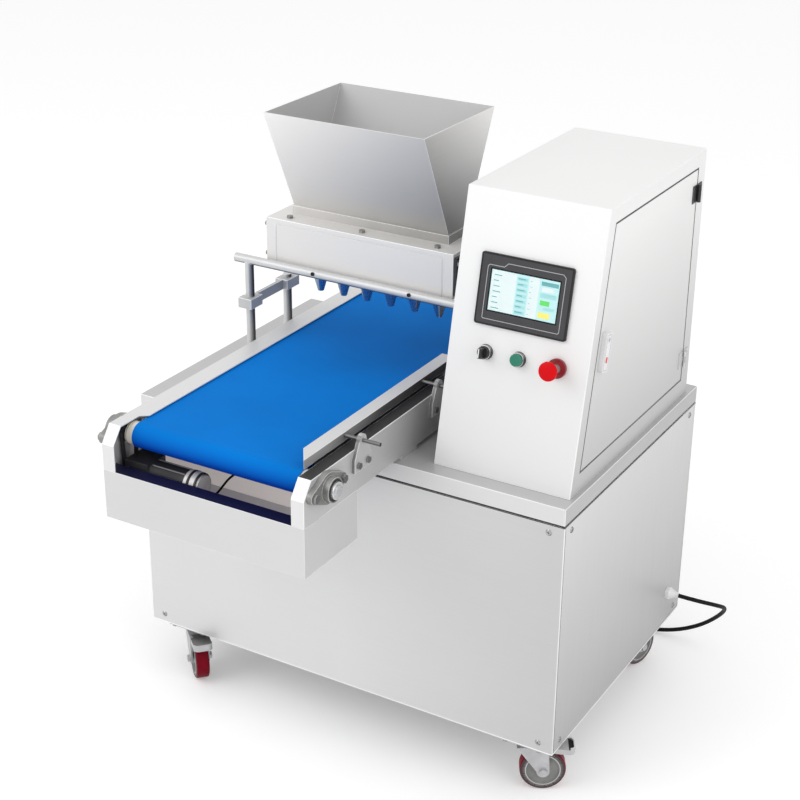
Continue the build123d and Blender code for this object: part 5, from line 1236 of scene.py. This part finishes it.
def screen_fields():
    """Areas of the display as (finish, left, right, low, high) in millimetres; later ones lie on top."""
    fields = [
        (screen_pale, view_border, view_width - view_border, view_border, view_height - view_border),
        (screen_white, 4, 58, 4, 84),
        (screen_white, 86, 108, 4, 84),
        (screen_teal, 112, 149, 72, 80),
        (screen_white, 114, 140, 60, 69),
        (screen_mint, 112, 147, 48, 57),
        (screen_green, 113, 134, 33, 43),
        (screen_mint, 122, 146, 24, 30),
        (screen_yellow, 112, 137, 8, 19),
    ]
    for row in range(7):
        low = 8 + 11 * row
        fields.append((screen_teal, 9, 26 - row % 3 * 3, low, low + 2))
        fields.append((screen_mint, 60, 83, low - 2, low + 5))
        fields.append((screen_teal, 62, 78 - row % 2 * 4, low + 1, low + 3))
        fields.append((screen_teal, 88, 92 + row % 2 * 2, low + 1, low + 2))
    return fields


def add_screen():
    """Lit display in the bezel's recess: one slab whose cells take the finish of the field on top."""
    fields = screen_fields()
    finishes = [screen_black] + list(dict.fromkeys(field[0] for field in fields))
    columns = sorted({0, view_width} | {value for field in fields for value in field[1:3]})
    rows = sorted({0, view_height} | {value for field in fields for value in field[3:5]})
    left = panel_left + (panel_width - view_width) / 2
    low = panel_rise + (panel_height - view_height) / 2
    place = sloped_front @ Matrix.Translation(Vector((left, low, panel_thick - view_sunk)) * mm)
    shape = bmesh.new()
    grid = [[shape.verts.new(place @ (Vector((x, y, 0)) * mm)) for x in columns] for y in rows]
    for row in range(len(rows) - 1):
        for column in range(len(columns) - 1):
            near, far = grid[row], grid[row + 1]
            face = shape.faces.new((near[column], near[column + 1], far[column + 1], far[column]))
            x = (columns[column] + columns[column + 1]) / 2
            y = (rows[row] + rows[row + 1]) / 2
            for field, x0, x1, y0, y1 in fields:
                if x0 < x < x1 and y0 < y < y1:
                    face.material_index = finishes.index(field)
    bmesh.ops.solidify(shape, geom=shape.faces[:], thickness=view_sheet * mm)
    bmesh.ops.recalc_face_normals(shape, faces=shape.faces)
    add_piece("screen", shape, finishes, "machine")


# Buttons, on the cabinet's sloped front

button_rise = 256.0
selector_place = 85.3
green_place = 158.8
stop_place = 243.3
bezel_radius = 15.0
grip_high = 30.0
grip_half_length = 10.4
grip_half_width = 4.0
stop_neck = 9.0
stop_radius = 19.5
stop_cap = 41.0
stop_top = 50.0


def button_spot(across_place, height=0.0):
    """Place on the sloped front, over a button's middle."""
    return sloped_front @ Matrix.Translation(Vector((across_place, button_rise, height)) * mm)


def dress_buttons():
    """Metal bezels on dark gaskets, and the plastic caps."""
    def is_collar(middle, normal):
        return middle.x > cabinet_low.x + (green_place + stop_place) / 2

    dress("button_bezels", bezel_chrome, None, 0.9, 0.0, [(dark_red, is_collar)])
    dress("selector_knob", black_plastic, None, 1.2, 0.0)
    dress("green_button", green_cap, None, 1.2, 0.0)
    neck = ring_profile(0, stop_neck, 2, stop_cap - 1)
    add_detail("stop_neck", lathe(neck, button_spot(stop_place)), polished, "stop_button")
    cap = [
        (0, stop_cap - 2), (stop_neck + 1.5, stop_cap - 2), (stop_radius - 2.5, stop_cap),
        (stop_radius, stop_cap + 2.5), (stop_radius, stop_top - 3), (stop_radius - 1, stop_top - 1),
        (stop_radius - 3.5, stop_top), (0, stop_top),
    ]
    shape = lathe(cap, button_spot(stop_place), 64)
    piece = add_detail("stop_cap", shape, red_cap, "stop_button")
    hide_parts("estop_button")
    gasket = [
        (bezel_radius - 0.5, 0.05), (bezel_radius + 0.7, 0.05),
        (bezel_radius + 0.7, 1.0), (bezel_radius - 0.5, 1.4),
    ]
    # Dark grooves round the bezels: painted shade.
    groove = ring_profile(bezel_radius - 0.4, bezel_radius + 0.25, 6.0, 7.4)
    for name, place in (("selector", selector_place), ("start", green_place)):
        add_detail(f"{name}_gasket", lathe(gasket, button_spot(place)), black_rubber)
        add_detail(f"{name}_bezel_groove", lathe(groove, button_spot(place)), black_oxide_and_recess_shade)
    x, y = grip_half_width, grip_half_length
    pointer = rounded_rectangle(-x + 0.6, -x + 3.0, -y + 1, y - 1, 0.8, 3)
    shape = prism(pointer, button_spot(selector_place, grip_high), -mark_depth, mark_proud)
    add_detail("selector_pointer", shape, mark_white, "selector")


# Lead's fittings and the cabinet's inside

tie_width = 9.0
tie_sheet = 1.2
pin_length = 19.0
plate_zone = 23.0


def dress_lead():
    """Lead, gland, plug with metal pins, and the tie round the coil."""
    mains_lead.data.materials.append(cord_black)
    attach(mains_lead, "machine")
    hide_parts("power_cord", "cord_coil")
    dress("gland", handle_white, None, 0.6, 0.0)

    def is_pin(middle, normal):
        return middle.x > plug_high.x - pin_length + 0.5

    dress("plug", black_rubber, None, 0.6, 0.0, [(machined, is_pin)])
    inner = coil_outer_radius - coil_pitch * coil_turns - cord_radius
    outer = coil_outer_radius + cord_radius
    x0, x1 = coil_middle.x - outer - tie_sheet, coil_middle.x - inner + tie_sheet
    top = 2 * cord_radius + coil_pitch + tie_sheet
    outline = rounded_rectangle(x0, x1, 0.6, top, 4.0)
    place = facing_place((0, coil_middle.y, 0), to_front)
    tie = band(outline, inset(outline, tie_sheet), place, -tie_width / 2, tie_width / 2)
    add_detail("coil_tie", tie, black_tie_and_painted_shade)


def dress_electrics():
    """Plated mounting plate with gray modules behind the door."""
    def is_plate(middle, normal):
        return middle.y > plate_high.y - plate_zone

    dress("electrical_panel", module_gray, None, 0.8, 10.0, [(zinc, is_plate)])


dress_base()
add_base_lines()
add_screw_recesses()
dress_casters()
dress_roller("front_roller", "front_roller_turning")
dress_roller("rear_roller", "rear_roller_turning")
dress_bearings()
dress_conveyor()
dress_drive()
dress_head()
dress_cutter()
dress_cabinet()
dress_latch()
dress_operator_panel()
add_screen()
dress_buttons()
dress_lead()
dress_electrics()


# Stage and light

floor_light = 0.24
floor_tone = 0.88
floor_reach = 40.0
floor_drop = 0.5
studio_direction = (0.85, 0.5, -0.1)
studio_soft = (0.84, 0.74)
studio_shine = (1.05, 0.65)
shine_start = -0.4


def add_floor():
    """Pale floor that shows white to the camera and to metal, and keeps the machine's shadow."""
    mesh = bpy.data.meshes.new("floor")
    outline = rectangle(-floor_reach, floor_reach, -floor_reach, floor_reach)
    mesh.from_pydata([(x, y, 0) for x, y in outline], [], [(0, 1, 2, 3)])
    floor = add_object("floor", mesh)
    floor.location.z = -floor_drop * mm
    material, tree, shader = new_material("floor")
    rays = tree.nodes.new("ShaderNodeLightPath").outputs
    seen = {0: rays["Is Camera Ray"], 1: rays["Is Glossy Ray"]}
    either = add_node(tree, "Math", seen, "Value", operation="MAXIMUM")
    level = add_node(tree, "Math", {0: either, 1: floor_light}, "Value", operation="MULTIPLY")
    feed(tree, shader, {
        "Base Color": (*gray(floor_tone), 1),
        "Roughness": 0.9,
        "Specular IOR Level": 0.0,
        "Emission Color": (1, 1, 1, 1),
        "Emission Strength": level,
    })
    mesh.materials.append(material)


def add_world():
    """White backdrop to the camera, and a studio that is lighter in front and on the left."""
    world = bpy.data.worlds.new("studio")
    scene.world = world
    world.use_nodes = True
    tree = world.node_tree
    view = add_node(tree, "TexCoord", {}, "Generated")
    aside = along(tree, view, Vector(studio_direction).normalized())
    rays = tree.nodes.new("ShaderNodeLightPath").outputs
    strength = spread(tree, aside, *studio_soft, -1.0, 1.0)
    shine = spread(tree, aside, *studio_shine, shine_start, 1.0)
    for ray, level in (("Is Glossy Ray", shine), ("Is Camera Ray", 1.0), ("Is Transmission Ray", 1.0)):
        strength = add_node(tree, "Mix", {"Factor": rays[ray], "A": strength, "B": level}, "Result")
    feed(tree, tree.nodes["Background"], {"Color": (1, 1, 1, 1), "Strength": strength})


def add_lamp(name, place, size, power):
    """Square soft lamp that faces the machine."""
    data = bpy.data.lights.new(name, "AREA")
    data.size = size
    data.energy = power
    lamp = add_object(name, data)
    lamp.location = place
    lamp.rotation_euler = (camera_target - Vector(place)).to_track_quat("-Z", "Y").to_euler()


add_floor()
add_world()
add_lamp("key", (-3.0, -3.8, 4.2), 4.0, 90.0)
add_lamp("fill", (4.4, -1.2, 3.4), 4.0, 60.0)
scene.view_settings.view_transform = "Standard"
